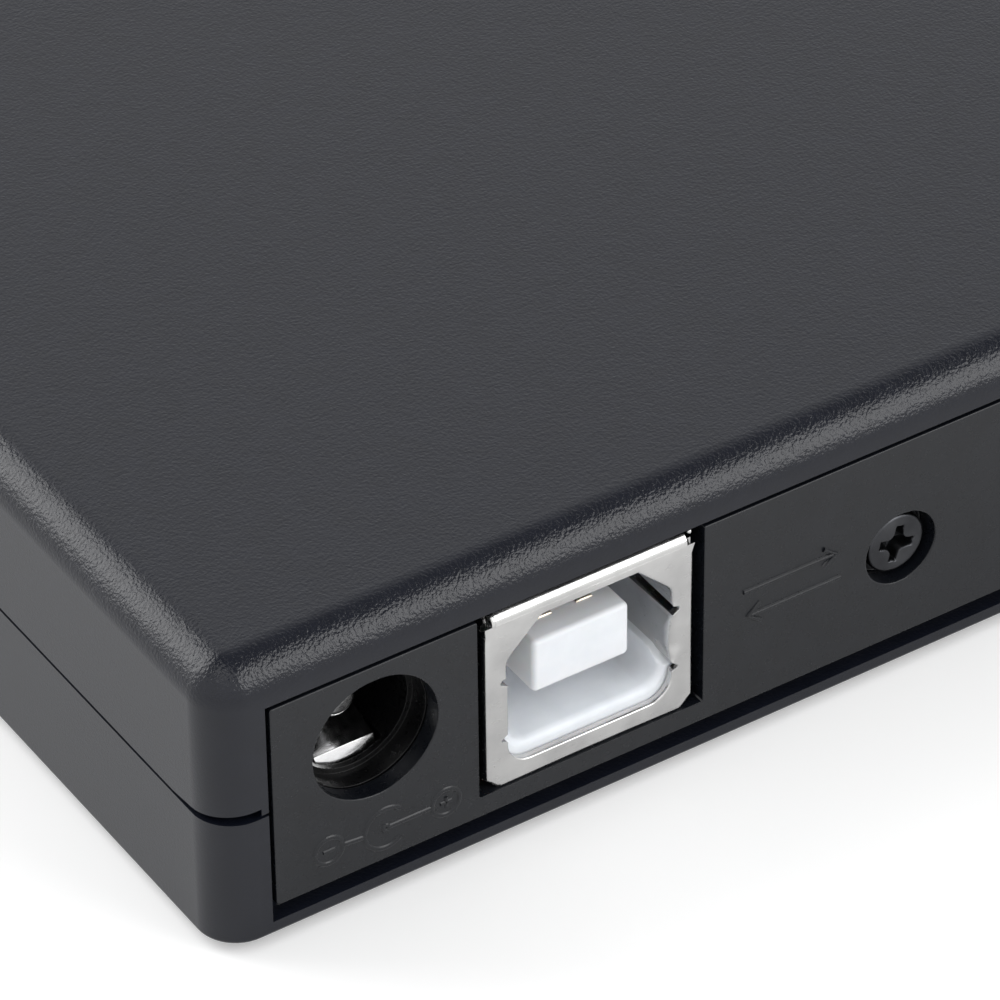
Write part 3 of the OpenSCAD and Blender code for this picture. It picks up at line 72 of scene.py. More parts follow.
def add_camera():
    data = bpy.data.cameras.new("view_camera")
    data.sensor_width = 36.0
    data.lens = 236.8
    data.clip_start = 0.01
    data.clip_end = 20.0
    camera = add_object("view_camera", data)
    right = Vector(CAMERA_RIGHT).normalized()
    ahead = Vector(CAMERA_AHEAD)
    ahead = (ahead - right * ahead.dot(right)).normalized()
    turn = Matrix((right, right.cross(ahead), -ahead)).transposed().to_4x4()
    camera.matrix_world = Matrix.Translation(CAMERA_PLACE) @ turn
    bpy.context.scene.camera = camera


add_camera()
bpy.context.scene.view_settings.view_transform = "Standard"

# Materials by the name of their slot. Lengths in them are metres, in the object's own coordinates
MATERIAL = {}


class Nodes:
    """A node tree, with a short call for each node that the materials and the world use."""

    def __init__(self, tree, coord):
        self.nodes = tree.nodes
        self.links = tree.links
        self.nodes.clear()
        self.coord = self.nodes.new("ShaderNodeTexCoord").outputs[coord]

    def feed(self, socket, value):
        """Sets a socket to a number, or links an output to it."""
        if isinstance(value, (int, float)):
            socket.default_value = value
        else:
            self.links.new(value, socket)

    def stretched(self, x, y, z):
        node = self.nodes.new("ShaderNodeMapping")
        node.inputs["Scale"].default_value = (x, y, z)
        self.links.new(self.coord, node.inputs[0])
        return node.outputs[0]

    def noise(self, scale, detail=2.0, rough=0.5, coord=None):
        node = self.nodes.new("ShaderNodeTexNoise")
        node.inputs["Scale"].default_value = scale
        node.inputs["Detail"].default_value = detail
        node.inputs["Roughness"].default_value = rough
        self.links.new(coord or self.coord, node.inputs["Vector"])
        return node.outputs["Fac"]

    def cells(self, scale):
        node = self.nodes.new("ShaderNodeTexVoronoi")
        node.inputs["Scale"].default_value = scale
        self.links.new(self.coord, node.inputs["Vector"])
        return node.outputs["Distance"]

    def ramp(self, value, low, high, out_low=0.0, out_high=1.0, kind="LINEAR"):
        node = self.nodes.new("ShaderNodeMapRange")
        node.interpolation_type = kind
        for key, number in (("From Min", low), ("From Max", high), ("To Min", out_low), ("To Max", out_high)):
            node.inputs[key].default_value = number
        self.links.new(value, node.inputs["Value"])
        return node.outputs[0]

    def math(self, kind, a, b):
        node = self.nodes.new("ShaderNodeMath")
        node.operation = kind
        self.feed(node.inputs[0], a)
        self.feed(node.inputs[1], b)
        return node.outputs[0]

    def z_of(self, vector):
        node = self.nodes.new("ShaderNodeSeparateXYZ")
        self.links.new(vector, node.inputs[0])
        return node.outputs["Z"]

    def rays(self):
        """Whether a ray is the camera's own, and whether metal or glass sends it on."""
        ray = self.nodes.new("ShaderNodeLightPath").outputs
        return ray["Is Camera Ray"], self.math("MAXIMUM", ray["Is Glossy Ray"], ray["Is Transmission Ray"])


class Surface(Nodes):
    """A material on one principled shader, which enters itself in MATERIAL."""

    SOCKET = {"colour": "Base Color", "rough": "Roughness", "metal": "Metallic", "ior": "IOR",
              "spec": "Specular IOR Level", "coat": "Coat Weight", "coat_rough": "Coat Roughness",
              "through": "Transmission Weight", "sss": "Subsurface Weight"}

    def __init__(self, name):
        material = bpy.data.materials.new(name)
        material.use_nodes = True
        super().__init__(material.node_tree, "Object")
        self.shader = self.nodes.new("ShaderNodeBsdfPrincipled")
        out = self.nodes.new("ShaderNodeOutputMaterial")
        self.links.new(self.shader.outputs[0], out.inputs[0])
        MATERIAL[name] = material

    def set(self, **values):
        """Numbers and colours that are the same all over the surface."""
        for key, value in values.items():
            if isinstance(value, tuple):
                value = (*value, 1.0)
            self.shader.inputs[self.SOCKET[key]].default_value = value

    def colour(self, factor, a, b):
        """Base colour that goes from a to b with a factor."""
        node = self.nodes.new("ShaderNodeMix")
        node.data_type = "RGBA"
        self.links.new(factor, node.inputs["Factor"])
        for key, value in (("A", a), ("B", b)):
            socket = [s for s in node.inputs if s.name == key and s.type == "RGBA"][0]
            socket.default_value = (*value, 1.0)
        mixed = [s for s in node.outputs if s.type == "RGBA"][0]
        self.links.new(mixed, self.shader.inputs["Base Color"])

    def rough(self, value):
        self.links.new(value, self.shader.inputs["Roughness"])

    def bump(self, height, distance, strength=1.0, before=None):
        node = self.nodes.new("ShaderNodeBump")
        node.inputs["Distance"].default_value = distance
        self.feed(node.inputs["Strength"], strength)
        self.links.new(height, node.inputs["Height"])
        if before:
            self.links.new(before, node.inputs["Normal"])
        self.links.new(node.outputs[0], self.shader.inputs["Normal"])
        return node.outputs[0]

    def facing_up(self):
        return self.z_of(self.nodes.new("ShaderNodeNewGeometry").outputs["Normal"])


def case_plastic():
    """Moulded case: stipple that is strongest on the rounded edges, duller flat top, smoother sides."""
    g = Surface("case_plastic")
    g.set(ior=1.42)
    g.colour(g.ramp(g.noise(900, 3), 0.3, 0.7), (0.0026, 0.0038, 0.0088), (0.0044, 0.0058, 0.0118))
    g.rough(g.math("MAXIMUM", g.ramp(g.noise(5200, 2), 0.3, 0.7, 0.12, 0.19),
                   g.ramp(g.facing_up(), 0.93, 0.995, 0.1, 0.42)))
    stipple = g.math("MINIMUM", g.ramp(g.facing_up(), 0.02, 0.45, 0.1, 1.0),
                     g.ramp(g.facing_up(), 0.93, 0.995, 1.0, 0.72))
    first = g.bump(g.noise(6000, 2.0, 0.5), 0.00005, stipple)
    g.bump(g.noise(15000, 1.5), 0.000006, 0.6, first)


def plastic(name, dark, light, rough=(0.35, 0.48), grain=9000, depth=0.000005, ior=1.5, sss=0.0):
    g = Surface(name)
    g.set(ior=ior, sss=sss)
    g.colour(g.ramp(g.noise(700, 3), 0.3, 0.7), dark, light)
    g.rough(g.ramp(g.noise(2600, 3), 0.3, 0.7, *rough))
    g.bump(g.noise(grain, 2), depth, 0.7)


def metal(name, dark, light, rough=(0.18, 0.34), stretch=(1.0, 1.0, 1.0), scale=2500, depth=0.000002):
    g = Surface(name)
    g.set(metal=1.0)
    brushed = g.noise(scale, 3, 0.6, g.stretched(*stretch))
    g.colour(g.ramp(g.noise(500, 3), 0.3, 0.7), dark, light)
    g.rough(g.ramp(brushed, 0.25, 0.75, *rough))
    g.bump(brushed, depth, 0.6)


def zinc_sheet():
    """Zinc-coated steel sheet, rolled along Y."""
    g = Surface("chassis_steel")
    g.set(metal=1.0)
    rolled = g.noise(2600, 3, 0.6, g.stretched(1.0, 0.05, 1.0))
    g.colour(g.ramp(g.noise(240, 4), 0.3, 0.7), (0.54, 0.55, 0.56), (0.62, 0.63, 0.64))
    g.rough(g.ramp(rolled, 0.25, 0.75, 0.3, 0.42))
    g.bump(rolled, 0.0000008, 0.5)


def circuit_board():
    """Green board with tracks and vias under its lacquer."""
    g = Surface("circuit_board")
    g.set(ior=1.5, coat=0.35, coat_rough=0.2)
    tracks = g.nodes.new("ShaderNodeTexBrick")
    tracks.offset, tracks.offset_frequency = 0.37, 3
    tracks.squash, tracks.squash_frequency = 0.6, 4
    for key, value in (("Scale", 260), ("Brick Width", 3.2), ("Row Height", 0.13), ("Mortar Size", 0.016)):
        tracks.inputs[key].default_value = value
    for key, value in (("Color1", 0.0), ("Color2", 1.0), ("Mortar", 0.2)):
        tracks.inputs[key].default_value = (value, value, value, 1.0)
    g.links.new(g.coord, tracks.inputs["Vector"])
    vias = g.ramp(g.cells(430), 0.11, 0.15, 1.0, 0.0)
    g.colour(g.math("MAXIMUM", tracks.outputs["Color"], vias), (0.012, 0.08, 0.042), (0.02, 0.13, 0.064))
    g.rough(g.ramp(g.noise(3000, 3), 0.3, 0.7, 0.3, 0.45))
    g.bump(vias, 0.00002, 0.4)


def ribbon_film():
    """Amber film with conductors along Y."""
    g = Surface("ribbon_film")
    tracks = g.noise(1300, 1, 0.5, g.stretched(1.0, 0.002, 0.1))
    g.colour(g.ramp(tracks, 0.42, 0.58), (0.4, 0.2, 0.05), (0.6, 0.34, 0.09))
    g.rough(g.ramp(g.noise(1500, 2), 0.3, 0.7, 0.2, 0.3))
    g.bump(tracks, 0.00001, 0.4)


def clear(name, colour, ior):
    g = Surface(name)
    g.set(colour=colour, through=1.0, ior=ior)
    g.rough(g.ramp(g.noise(1800, 2), 0.3, 0.7, 0.02, 0.09))
    g.bump(g.noise(900, 2), 0.000002, 0.3)


case_plastic()
circuit_board()
zinc_sheet()
ribbon_film()
clear("light_clear", (0.86, 0.95, 0.86), ior=1.49)
clear("lens_glass", (0.78, 0.84, 0.98), ior=1.52)
plastic("panel_plastic", (0.0045, 0.0054, 0.0078), (0.0062, 0.0074, 0.0104), (0.25, 0.33), grain=11000,
        depth=0.000003, ior=1.42)
plastic("foot_rubber", (0.012, 0.012, 0.012), (0.02, 0.02, 0.02), (0.65, 0.85), grain=7000, depth=0.00001)
plastic("chip_black", (0.014, 0.014, 0.015), (0.022, 0.022, 0.023), (0.45, 0.6), grain=12000)
plastic("connector_black", (0.003, 0.003, 0.0034), (0.005, 0.005, 0.0054), (0.24, 0.34), ior=1.42)
plastic("socket_white", (0.84, 0.845, 0.875), (0.9, 0.905, 0.93), (0.34, 0.46), grain=6000,
        depth=0.000003, sss=0.1)
plastic("tray_plastic", (0.011, 0.011, 0.012), (0.017, 0.017, 0.018), (0.42, 0.58), grain=5200,
        depth=0.000012)
plastic("bezel_plastic", (0.0095, 0.0095, 0.0105), (0.0145, 0.0145, 0.0155), (0.34, 0.46), grain=7000,
        depth=0.00001)
plastic("switch_grey", (0.36, 0.36, 0.34), (0.46, 0.46, 0.44), (0.4, 0.55))
plastic("hub_white", (0.44, 0.44, 0.43), (0.54, 0.54, 0.52), (0.34, 0.48))
plastic("holder_black", (0.011, 0.011, 0.012), (0.018, 0.018, 0.019), (0.38, 0.52))
metal("black_screw", (0.04, 0.041, 0.045), (0.075, 0.077, 0.083), (0.26, 0.42), scale=6000)
metal("component_metal", (0.62, 0.62, 0.63), (0.68, 0.68, 0.69), (0.26, 0.36), (1.0, 0.05, 1.0), scale=2600,
      depth=0.0000008)
metal("socket_metal", (0.5, 0.497, 0.495), (0.62, 0.617, 0.61), (0.14, 0.3), (0.35, 1.0, 2.4), scale=2600)
metal("contact_gold", (0.66, 0.6, 0.5), (0.78, 0.72, 0.6), (0.16, 0.28))
metal("jack_metal", (0.68, 0.68, 0.69), (0.8, 0.8, 0.8), (0.12, 0.26), (1.0, 0.3, 2.0))
metal("small_steel", (0.6, 0.6, 0.61), (0.7, 0.7, 0.71), (0.22, 0.34), (1.0, 0.03, 1.0), scale=2600,
      depth=0.0000005)
metal("ground_steel", (0.64, 0.64, 0.65), (0.78, 0.78, 0.79), (0.08, 0.2), (1.0, 1.0, 0.2))
metal("motor_metal", (0.56, 0.56, 0.58), (0.7, 0.7, 0.71), (0.22, 0.4))
metal("motor_copper", (0.6, 0.28, 0.12), (0.78, 0.42, 0.2), (0.25, 0.42), (1.0, 1.0, 6.0))
metal("sled_alloy", (0.38, 0.39, 0.41), (0.52, 0.53, 0.55), (0.36, 0.55), scale=3500, depth=0.000008)

NODES_OF = {
    "case_plastic": ["top_cover", "bottom_cover"],
    "panel_plastic": ["rear_panel"],
    "black_screw": ["panel_screws", "case_screws"],
    "foot_rubber": ["rubber_feet", "turntable_pad", "dampers"],
    "circuit_board": ["bridge_board", "main_board", "front_board"],
    "chip_black": ["bridge_chip", "main_chips"],
    "component_metal": ["board_components", "latch_solenoid"],
    "connector_black": ["bridge_connector", "drive_connector", "jack_body"],
    "socket_metal": ["usb_socket_shell"],
    "socket_white": ["usb_socket_insulator"],
    "contact_gold": ["usb_socket_contacts"],
    "jack_metal": ["jack_pin", "jack_leaf_contact"],
    "chassis_steel": ["chassis_pan", "chassis_cover", "left_rail_guide", "right_rail_guide",
                      "tray_bottom_plate", "traverse_base"],
    "small_steel": ["chassis_screws", "latch_post", "ejector_pin", "ejector_spring", "left_rail",
                    "right_rail"],
    "tray_plastic": ["tray", "tray_top_plate"],
    "bezel_plastic": ["bezel", "eject_button"],
    "light_clear": ["light_pipe"],
    "switch_grey": ["eject_switch", "tray_latch"],
    "ribbon_film": ["flex_ribbon"],
    "ground_steel": ["guide_rods", "lead_screw", "spindle_rotor"],
    "motor_metal": ["sled_motor"],
    "motor_copper": ["spindle_stator"],
    "hub_white": ["clamp_hub"],
    "sled_alloy": ["pickup_sled"],
    "holder_black": ["lens_holder"],
    "lens_glass": ["objective_lens"],
}

# Edges sharper than this stay edges. Some nodes get them rounded to a width, in mm
SHARP = math.radians(32)
SOFT_EDGE = {"rear_panel": 0.07, "jack_body": 0.07, "jack_leaf_contact": 0.06, "bezel": 0.12,
             "eject_button": 0.1, "rubber_feet": 0.12, "clamp_hub": 0.08, "tray": 0.1,
             "tray_top_plate": 0.08}


def smooth_tree():
    """Merged points and smooth faces, with the sharp edges kept."""
    tree = bpy.data.node_groups.new("smooth_by_angle", "GeometryNodeTree")
    tree.interface.new_socket("Geometry", in_out="INPUT", socket_type="NodeSocketGeometry")
    tree.interface.new_socket("Geometry", in_out="OUTPUT", socket_type="NodeSocketGeometry")
    new, link = tree.nodes.new, tree.links.new
    start, end = new("NodeGroupInput"), new("NodeGroupOutput")
    merge = new("GeometryNodeMergeByDistance")
    merge.inputs["Distance"].default_value = 0.002 * MM
    faces = new("GeometryNodeSetShadeSmooth")
    faces.domain = "FACE"
    edges = new("GeometryNodeSetShadeSmooth")
    edges.domain = "EDGE"
    edges.inputs["Shade Smooth"].default_value = False
    angle = new("GeometryNodeInputMeshEdgeAngle")
    sharp = new("FunctionNodeCompare")
    sharp.data_type = "FLOAT"
    sharp.operation = "GREATER_THAN"
    sharp.inputs[1].default_value = SHARP
    link(angle.outputs["Unsigned Angle"], sharp.inputs[0])
    link(start.outputs[0], merge.inputs["Geometry"])
    link(merge.outputs[0], faces.inputs["Geometry"])
    link(faces.outputs[0], edges.inputs["Geometry"])
    link(sharp.outputs[0], edges.inputs["Selection"])
    link(edges.outputs[0], end.inputs[0])
    return tree


SMOOTH = smooth_tree()


def soften(obj, width=None):
    """Smooth shading, and edges rounded to a width in mm."""
    smooth = obj.modifiers.new("smooth", "NODES")
    smooth.node_group = SMOOTH
    if width:
        bevel = obj.modifiers.new("edge", "BEVEL")
        bevel.width = width * MM
        bevel.segments = 3
        bevel.limit_method = "ANGLE"
        bevel.angle_limit = SHARP
        bevel.use_clamp_overlap = obj.name != "rear_panel"
    even = obj.modifiers.new("even", "WEIGHTED_NORMAL")
    even.keep_sharp = True


def dress(node, material):
    """Gives a CAD node its material and its soft edges."""
    obj = NODE[node]
    for slot in obj.material_slots:
        slot.material = material
    if not obj.material_slots:
        obj.data.materials.append(material)
    soften(obj, SOFT_EDGE.get(node))


for slot_name, nodes in NODES_OF.items():
    for node in nodes:
        dress(node, MATERIAL[slot_name])


# Pieces that the solids leave to the scene, in mm
def add_piece(name, bm, body, slot, smooth=True):
    """Object from a mesh, which rides on a body where one is given."""
    bmesh.ops.recalc_face_normals(bm, faces=bm.faces)
    data = bpy.data.meshes.new(name)
    bm.to_mesh(data)
    bm.free()
    data.materials.append(MATERIAL[slot])
    for face in data.polygons:
        face.use_smooth = smooth
    obj = add_object(name, data)
    if body:
        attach(obj, body)
    return obj


def loft(bm, rows, closed_rows=False):
    """Closed skin over rows of points, with a face on each end unless the rows close on themselves."""
    made = [[bm.verts.new(p) for p in row] for row in rows]
    pairs = list(zip(made, made[1:])) + ([(made[-1], made[0])] if closed_rows else [])
    for low, high in pairs:
        count = len(low)
        for i in range(count):
            j = (i + 1) % count
            bm.faces.new((low[i], low[j], high[j], high[i]))
    if not closed_rows:
        bm.faces.new(made[0])
        bm.faces.new(made[-1][::-1])


def quarter_turn(count):
    return [math.pi / 2 * i / count for i in range(count + 1)]


def whole_turn(count):
    return [math.tau * i / count for i in range(count)]


def direction(before, after):
    return Vector((after[0] - before[0], after[1] - before[1])).normalized()


# Marks on the rear panel. The covers' rim hides the panel's edges by these widths
RIM_SIDE, RIM_TOP = 0.6, 0.45
PANEL_HIGH = cad_box("rear_panel")[1]
OPENING_LEFT, REAR, OPENING_TOP = PANEL_HIGH[0] - RIM_SIDE, PANEL_HIGH[1], PANEL_HIGH[2] - RIM_TOP
# Widths of the raised lines, and how far they stand out
THIN_LINE, LINE, ARROW_LINE = 0.26, 0.32, 0.3
SIGN_RISE, SHAFT_RISE, HEAD_RISE = 0.068, 0.1, 0.12
FOOT_SINK = 0.012


def on_panel(x, z, out=0.0):
    """Point on the panel, seen from behind: x to the right and z up from the opening's upper left corner."""
    return Vector((OPENING_LEFT - x, REAR + out, OPENING_TOP + z)) * MM


def stroke(bm, points, width=LINE, rise=SIGN_RISE, closed=False):
    """Raised line of the panel's moulding, with sloped sides. Its section is in shares of its width."""
    flank = [(0.5, -FOOT_SINK), (0.28, rise * 0.8), (0.16, rise)]
    section = [(-o, h) for o, h in flank] + flank[::-1]
    rows = []
    for i, (x, z) in enumerate(points):
        before = points[i - 1] if i or closed else points[i]
        after = points[(i + 1) % len(points)] if i < len(points) - 1 or closed else points[i]
        along = direction(before, after)
        rows.append([on_panel(x - along.y * o * width, z + along.x * o * width, h) for o, h in section])
    loft(bm, rows, closed_rows=closed)


def ring(x, z, r, start=0.0, end=360.0, count=40):
    full = end - start >= 360.0
    angles = [math.radians(start + (end - start) * i / count) for i in range(count if full else count + 1)]
    return [(x + r * math.cos(a), z + r * math.sin(a)) for a in angles]


# Polarity sign: the middles of its three rings, its radii, and the gaps in its line
MINUS, SLEEVE, PLUS = (3.21, -10.32), (6.41, -10.43), (9.82, -10.44)
END_R, SLEEVE_R, DOT_R, HALF_BAR = 0.78, 1.2, 0.16, 0.32
LINK_GAP, DOT_GAP = 0.08, 0.04


def polarity_sign():
    """Moulded sign of the current socket's polarity."""
    bm = bmesh.new()
    for x, z in (MINUS, PLUS):
        stroke(bm, ring(x, z, END_R), closed=True)
        stroke(bm, [(x - HALF_BAR, z), (x + HALF_BAR, z)], THIN_LINE)
    stroke(bm, [(PLUS[0], PLUS[1] - HALF_BAR), (PLUS[0], PLUS[1] + HALF_BAR)], THIN_LINE)
    stroke(bm, ring(*SLEEVE, SLEEVE_R, 48, 312))
    stroke(bm, ring(*SLEEVE, DOT_R, count=16), THIN_LINE, closed=True)
    stroke(bm, [(MINUS[0] + END_R + LINK_GAP, MINUS[1]), (SLEEVE[0] - SLEEVE_R - LINK_GAP, SLEEVE[1])])
    stroke(bm, [(SLEEVE[0] + DOT_R + DOT_GAP, SLEEVE[1]), (PLUS[0] - END_R - LINK_GAP, PLUS[1])])
    add_piece("polarity_sign", bm, "case", "panel_plastic", False)


# Height, tail and tip of each arrow, and the size of its head
ARROWS = ((-5.35, 27.1, 32.6), (-6.95, 32.9, 27.4))
HEAD_L, HEAD_HALF_W = 0.75, 0.55


def data_arrows():
    """Plain pair of arrows beside the data socket."""
    bm = bmesh.new()
    for z, tail, tip in ARROWS:
        back = HEAD_L if tip > tail else -HEAD_L
        stroke(bm, [(tail, z), (tip - back * 0.2, z)], ARROW_LINE, SHAFT_RISE)
        head = [(tip - back, z + HEAD_HALF_W), (tip, z), (tip - back, z - HEAD_HALF_W)]
        stroke(bm, head, ARROW_LINE, HEAD_RISE)
    add_piece("data_arrows", bm, "case", "panel_plastic", False)


# Data socket. Its shell is folded sheet: u is measured to the right of its middle, seen from behind
SHELL_LOW, SHELL_HIGH = cad_box("usb_socket_shell")
SOCKET_X, SOCKET_FACE = (SHELL_LOW[0] + SHELL_HIGH[0]) / 2, SHELL_HIGH[1]
HALF_W = (SHELL_HIGH[0] - SHELL_LOW[0]) / 2
FACE_LOW, FACE_TOP, MOUTH_Z = 3.66, 13.82, 9.1
CUT_W, CUT_H = 0.66, 0.69
PLATE = [(-HALF_W, FACE_TOP), (HALF_W, FACE_TOP), (HALF_W, FACE_LOW + CUT_H), (HALF_W - CUT_W, FACE_LOW),
         (CUT_W - HALF_W, FACE_LOW), (-HALF_W, FACE_LOW + CUT_H)]
# Radius of the folded edge and depth of the fold, for each kind of edge round the mouth
EDGE, TAB, SLIT, SIDE_END = (0.1, 0.4), (0.2, 3.5), (0.03, 0.36), (0.35, 6.0)
SIDE_R, SIDE_DEPTH, LEFT_R = 0.75, 6.0, 0.16
MOUTH_TOP, MOUTH_LOW, MOUTH_SIDE = 13.38, 4.82, 4.7
CORNER_U, CORNER_R = 3.44, 1.3
SHEET, WALL, GAUGE, BEND_R, ROLL_R = 0.12, 0.32, 0.28, 0.3, 0.6
FOLD_BACK, FACE_BACK, SHELL_BACK = 0.34, 0.45, 16.2
ROOF_LEFT, ROOF_W = -5.42, 11.0
SIDE_SPAN, FLOOR_HALF_W, FLOOR_TOP = (4.3, 13.9), 5.4, 4.0
# Cut end of the roll and bead beside it: u, z and depth of the middle, and radius
CUT_END, CUT_END_R, CUT_TUBE_R, CUT_TUBE_HALF_W = (-5.5, 13.92, 0.47), 0.42, 0.1, 0.12
BEAD, BEAD_R, BEAD_HALF_W = (5.83, 14.44, 0.26), 0.15, 0.13


def in_socket(u, z, depth):
    """Point in the data socket, at a depth behind its face."""
    return Vector((SOCKET_X - u, SOCKET_FACE - depth, z)) * MM


def mouth_outline():
    """Points clockwise round the mouth from its top: u, z, radius of the folded edge, depth of the fold."""
    half = [(0.0, MOUTH_TOP, *EDGE), (1.3, MOUTH_TOP, *EDGE), (2.45, MOUTH_TOP, *EDGE), (2.7, 13.33, *TAB)]
    half += [(2.9 + 1.62 * i / 8, 13.2 - 1.55 * i / 8, *TAB) for i in range(9)]
    half += [(4.68, 11.45, *TAB), (4.77, 11.22, *TAB), (4.79, 10.9, *TAB), (4.79, 10.5, *TAB)]
    half += [(4.84, 10.36, *SLIT), (5.06, 10.3, *SLIT), (5.17, 10.18, *SLIT), (5.15, 10.06, *SLIT),
             (4.95, 9.95, *SLIT), (4.76, 9.84, *SLIT), (4.71, 9.7, *SIDE_END)]
    for i in range(11):
        swell = min(1.0, 0.5 + 0.17 * i, 0.5 + 0.17 * (10 - i))
        half.append((MOUTH_SIDE, 9.5 - 2.35 * i / 10, SIDE_R * swell, SIDE_DEPTH))
    half += [(4.71, 6.98, *SIDE_END), (4.78, 6.84, *SLIT), (5.02, 6.68, *SLIT), (5.13, 6.58, *SLIT),
             (5.1, 6.48, *SLIT), (4.84, 6.4, *SLIT), (4.74, 6.28, *EDGE)]
    half += [(CORNER_U + CORNER_R * math.cos(a), MOUTH_LOW + CORNER_R - CORNER_R * math.sin(a), *EDGE)
             for a in quarter_turn(12)]
    half += [(CORNER_U - CORNER_U * i / 8, MOUTH_LOW, *EDGE) for i in range(1, 9)]
    # The left half mirrors the right one, with tighter folds
    return half + [(-u, z, min(r, LEFT_R), fold) for u, z, r, fold in half[-2:0:-1]]


def to_plate(u, z):
    """Point of the face's outline seen from the mouth's middle through a point."""
    du, dz = u, z - MOUTH_Z
    hits = []
    for (u0, z0), (u1, z1) in zip(PLATE, PLATE[1:] + PLATE[:1]):
        eu, ez = u1 - u0, z1 - z0
        cross = du * ez - dz * eu
        if abs(cross) < 1e-9:
            continue
        along = (u0 * ez - (z0 - MOUTH_Z) * eu) / cross
        part = (u0 * dz - (z0 - MOUTH_Z) * du) / cross
        if along > 0 and -1e-6 <= part <= 1 + 1e-6:
            hits.append((along, u0 + eu * part, z0 + ez * part))
    return min(hits)[1:]


def face_outline():
    """Point of the face's outline for each point of the mouth, with the outline's corners among them."""
    points = [to_plate(u, z) for u, z, r, fold in MOUTH]
    for corner in PLATE:
        gap = [math.dist(corner, point) for point in points]
        points[gap.index(min(gap))] = corner
    return points


def mouth_row(place):
    """Row round the mouth. For a radius and a fold, place gives how far a point moves out and back."""
    row = []
    for i, (u, z, r, fold) in enumerate(MOUTH):
        along = direction(MOUTH[i - 1], MOUTH[(i + 1) % len(MOUTH)])
        out, back = place(r, fold)
        row.append(in_socket(u - along.y * out, z + along.x * out, back))
    return row


def face_row(inset, depth):
    """Row inside the face's outline. Under the roll the edge hardly bends."""
    row = []
    for (u, z), mouth_point in zip(FACE, MOUTH):
        toward = direction((u, z), mouth_point)
        share = 0.03 if z > FACE_TOP - SHEET else 1.0
        row.append(in_socket(u + toward.x * inset * share, z + toward.y * inset * share, depth * share))
    return row


def bar(bm, u_span, z_span, depths):
    """Straight bar along the socket's depth."""
    (u0, u1), (z0, z1) = u_span, z_span
    corners = ((u0, z0), (u1, z0), (u1, z1), (u0, z1))
    loft(bm, [[in_socket(u, z, depth) for u, z in corners] for depth in depths])


def folded_face(bm):
    """Face of the shell, bent back at its outline and folded in round the mouth."""
    rows = [face_row(BEND_R * (1 - math.sin(a)), BEND_R * (1 - math.cos(a))) for a in quarter_turn(5)[::-1]]
    for a in quarter_turn(6):
        rows.append(mouth_row(lambda r, fold: (r * (1 - math.sin(a)), r * (1 - math.cos(a)))))
    rows.append(mouth_row(lambda r, fold: (0.0, fold)))
    rows.append(mouth_row(lambda r, fold: (GAUGE, fold)))
    rows.append(mouth_row(lambda r, fold: (GAUGE, FOLD_BACK)))
    rows += [face_row(BEND_R, FACE_BACK), face_row(0.0, FACE_BACK)]
    loft(bm, rows, closed_rows=True)


def rolled_roof(bm):
    """Roof of the shell, with its front edge rolled down to the face."""
    inner_r = ROLL_R - SHEET
    roof = FACE_TOP + ROLL_R
    line = [(ROLL_R - ROLL_R * math.cos(a), FACE_TOP + ROLL_R * math.sin(a)) for a in quarter_turn(10)]
    line += [(SHELL_BACK, roof), (SHELL_BACK, roof - SHEET)]
    line += [(ROLL_R - inner_r * math.cos(a), FACE_TOP + inner_r * math.sin(a))
             for a in quarter_turn(10)[::-1]]
    loft(bm, [[in_socket(ROOF_LEFT + ROOF_W * i / 12, z, depth) for depth, z in line] for i in range(13)])


def walls(bm):
    """Sides and floor of the shell behind its face."""
    depths = (0.4, 8, SHELL_BACK)
    bar(bm, (-HALF_W, WALL - HALF_W), SIDE_SPAN, depths)
    bar(bm, (HALF_W - WALL, HALF_W), SIDE_SPAN, depths)
    bar(bm, (-FLOOR_HALF_W, FLOOR_HALF_W), (FACE_LOW, FLOOR_TOP), depths)


def roll_ends(bm):
    """Cut end of the roll on the left, and a bead on the right."""
    u, z, depth = CUT_END
    tube = [(CUT_TUBE_HALF_W * math.sin(a), CUT_END_R + CUT_TUBE_R * math.cos(a)) for a in whole_turn(12)]
    rows = []
    for a in whole_turn(36):
        rows.append([in_socket(u + du, z + r * math.sin(a), depth + r * math.cos(a)) for du, r in tube])
    loft(bm, rows, closed_rows=True)
    u, z, depth = BEAD
    rows = []
    for lean in [math.pi * k / 12 for k in range(1, 12)]:
        du, r = BEAD_HALF_W * math.cos(lean), BEAD_R * math.sin(lean)
        rows.append([in_socket(u + du, z + r * math.sin(a), depth + r * math.cos(a)) for a in whole_turn(16)])
    loft(bm, rows)


MOUTH = mouth_outline()
FACE = face_outline()


def socket_shell():
    bm = bmesh.new()
    folded_face(bm)
    rolled_roof(bm)
    walls(bm)
    roll_ends(bm)
    shell = add_piece("socket_folded_shell", bm, "case", "socket_metal")
    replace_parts(shell, "usb_socket_shell")
    soften(shell)


# White core of the data socket. Its front: depth behind the face, and how far the edge is rounded off there
CORE_FRONT = [(0.46, 0.42), (0.48, 0.3), (0.54, 0.19), (0.63, 0.1), (0.75, 0.04), (0.9, 0.0), (1.6, 0.0),
              (3.0, 0.0), (9.4, 0.0)]
CORE_HALF_W, CORE_LOW, CORE_TOP = 5.6, 4.1, 13.9
LEDGE_Z, LEDGE_SLOPE, SLOPE_END = 7.12, 0.6, 1.5
TROUGH_U, TROUGH_Z, TROUGH_R = 3.35, 6.5, 0.95
TONGUE_U, TONGUE_LOW, TONGUE_TOP, TONGUE_R = 2.48, 8.15, 10.7, 0.31
TONGUE_TIP, TIP_R = 0.8, 0.3


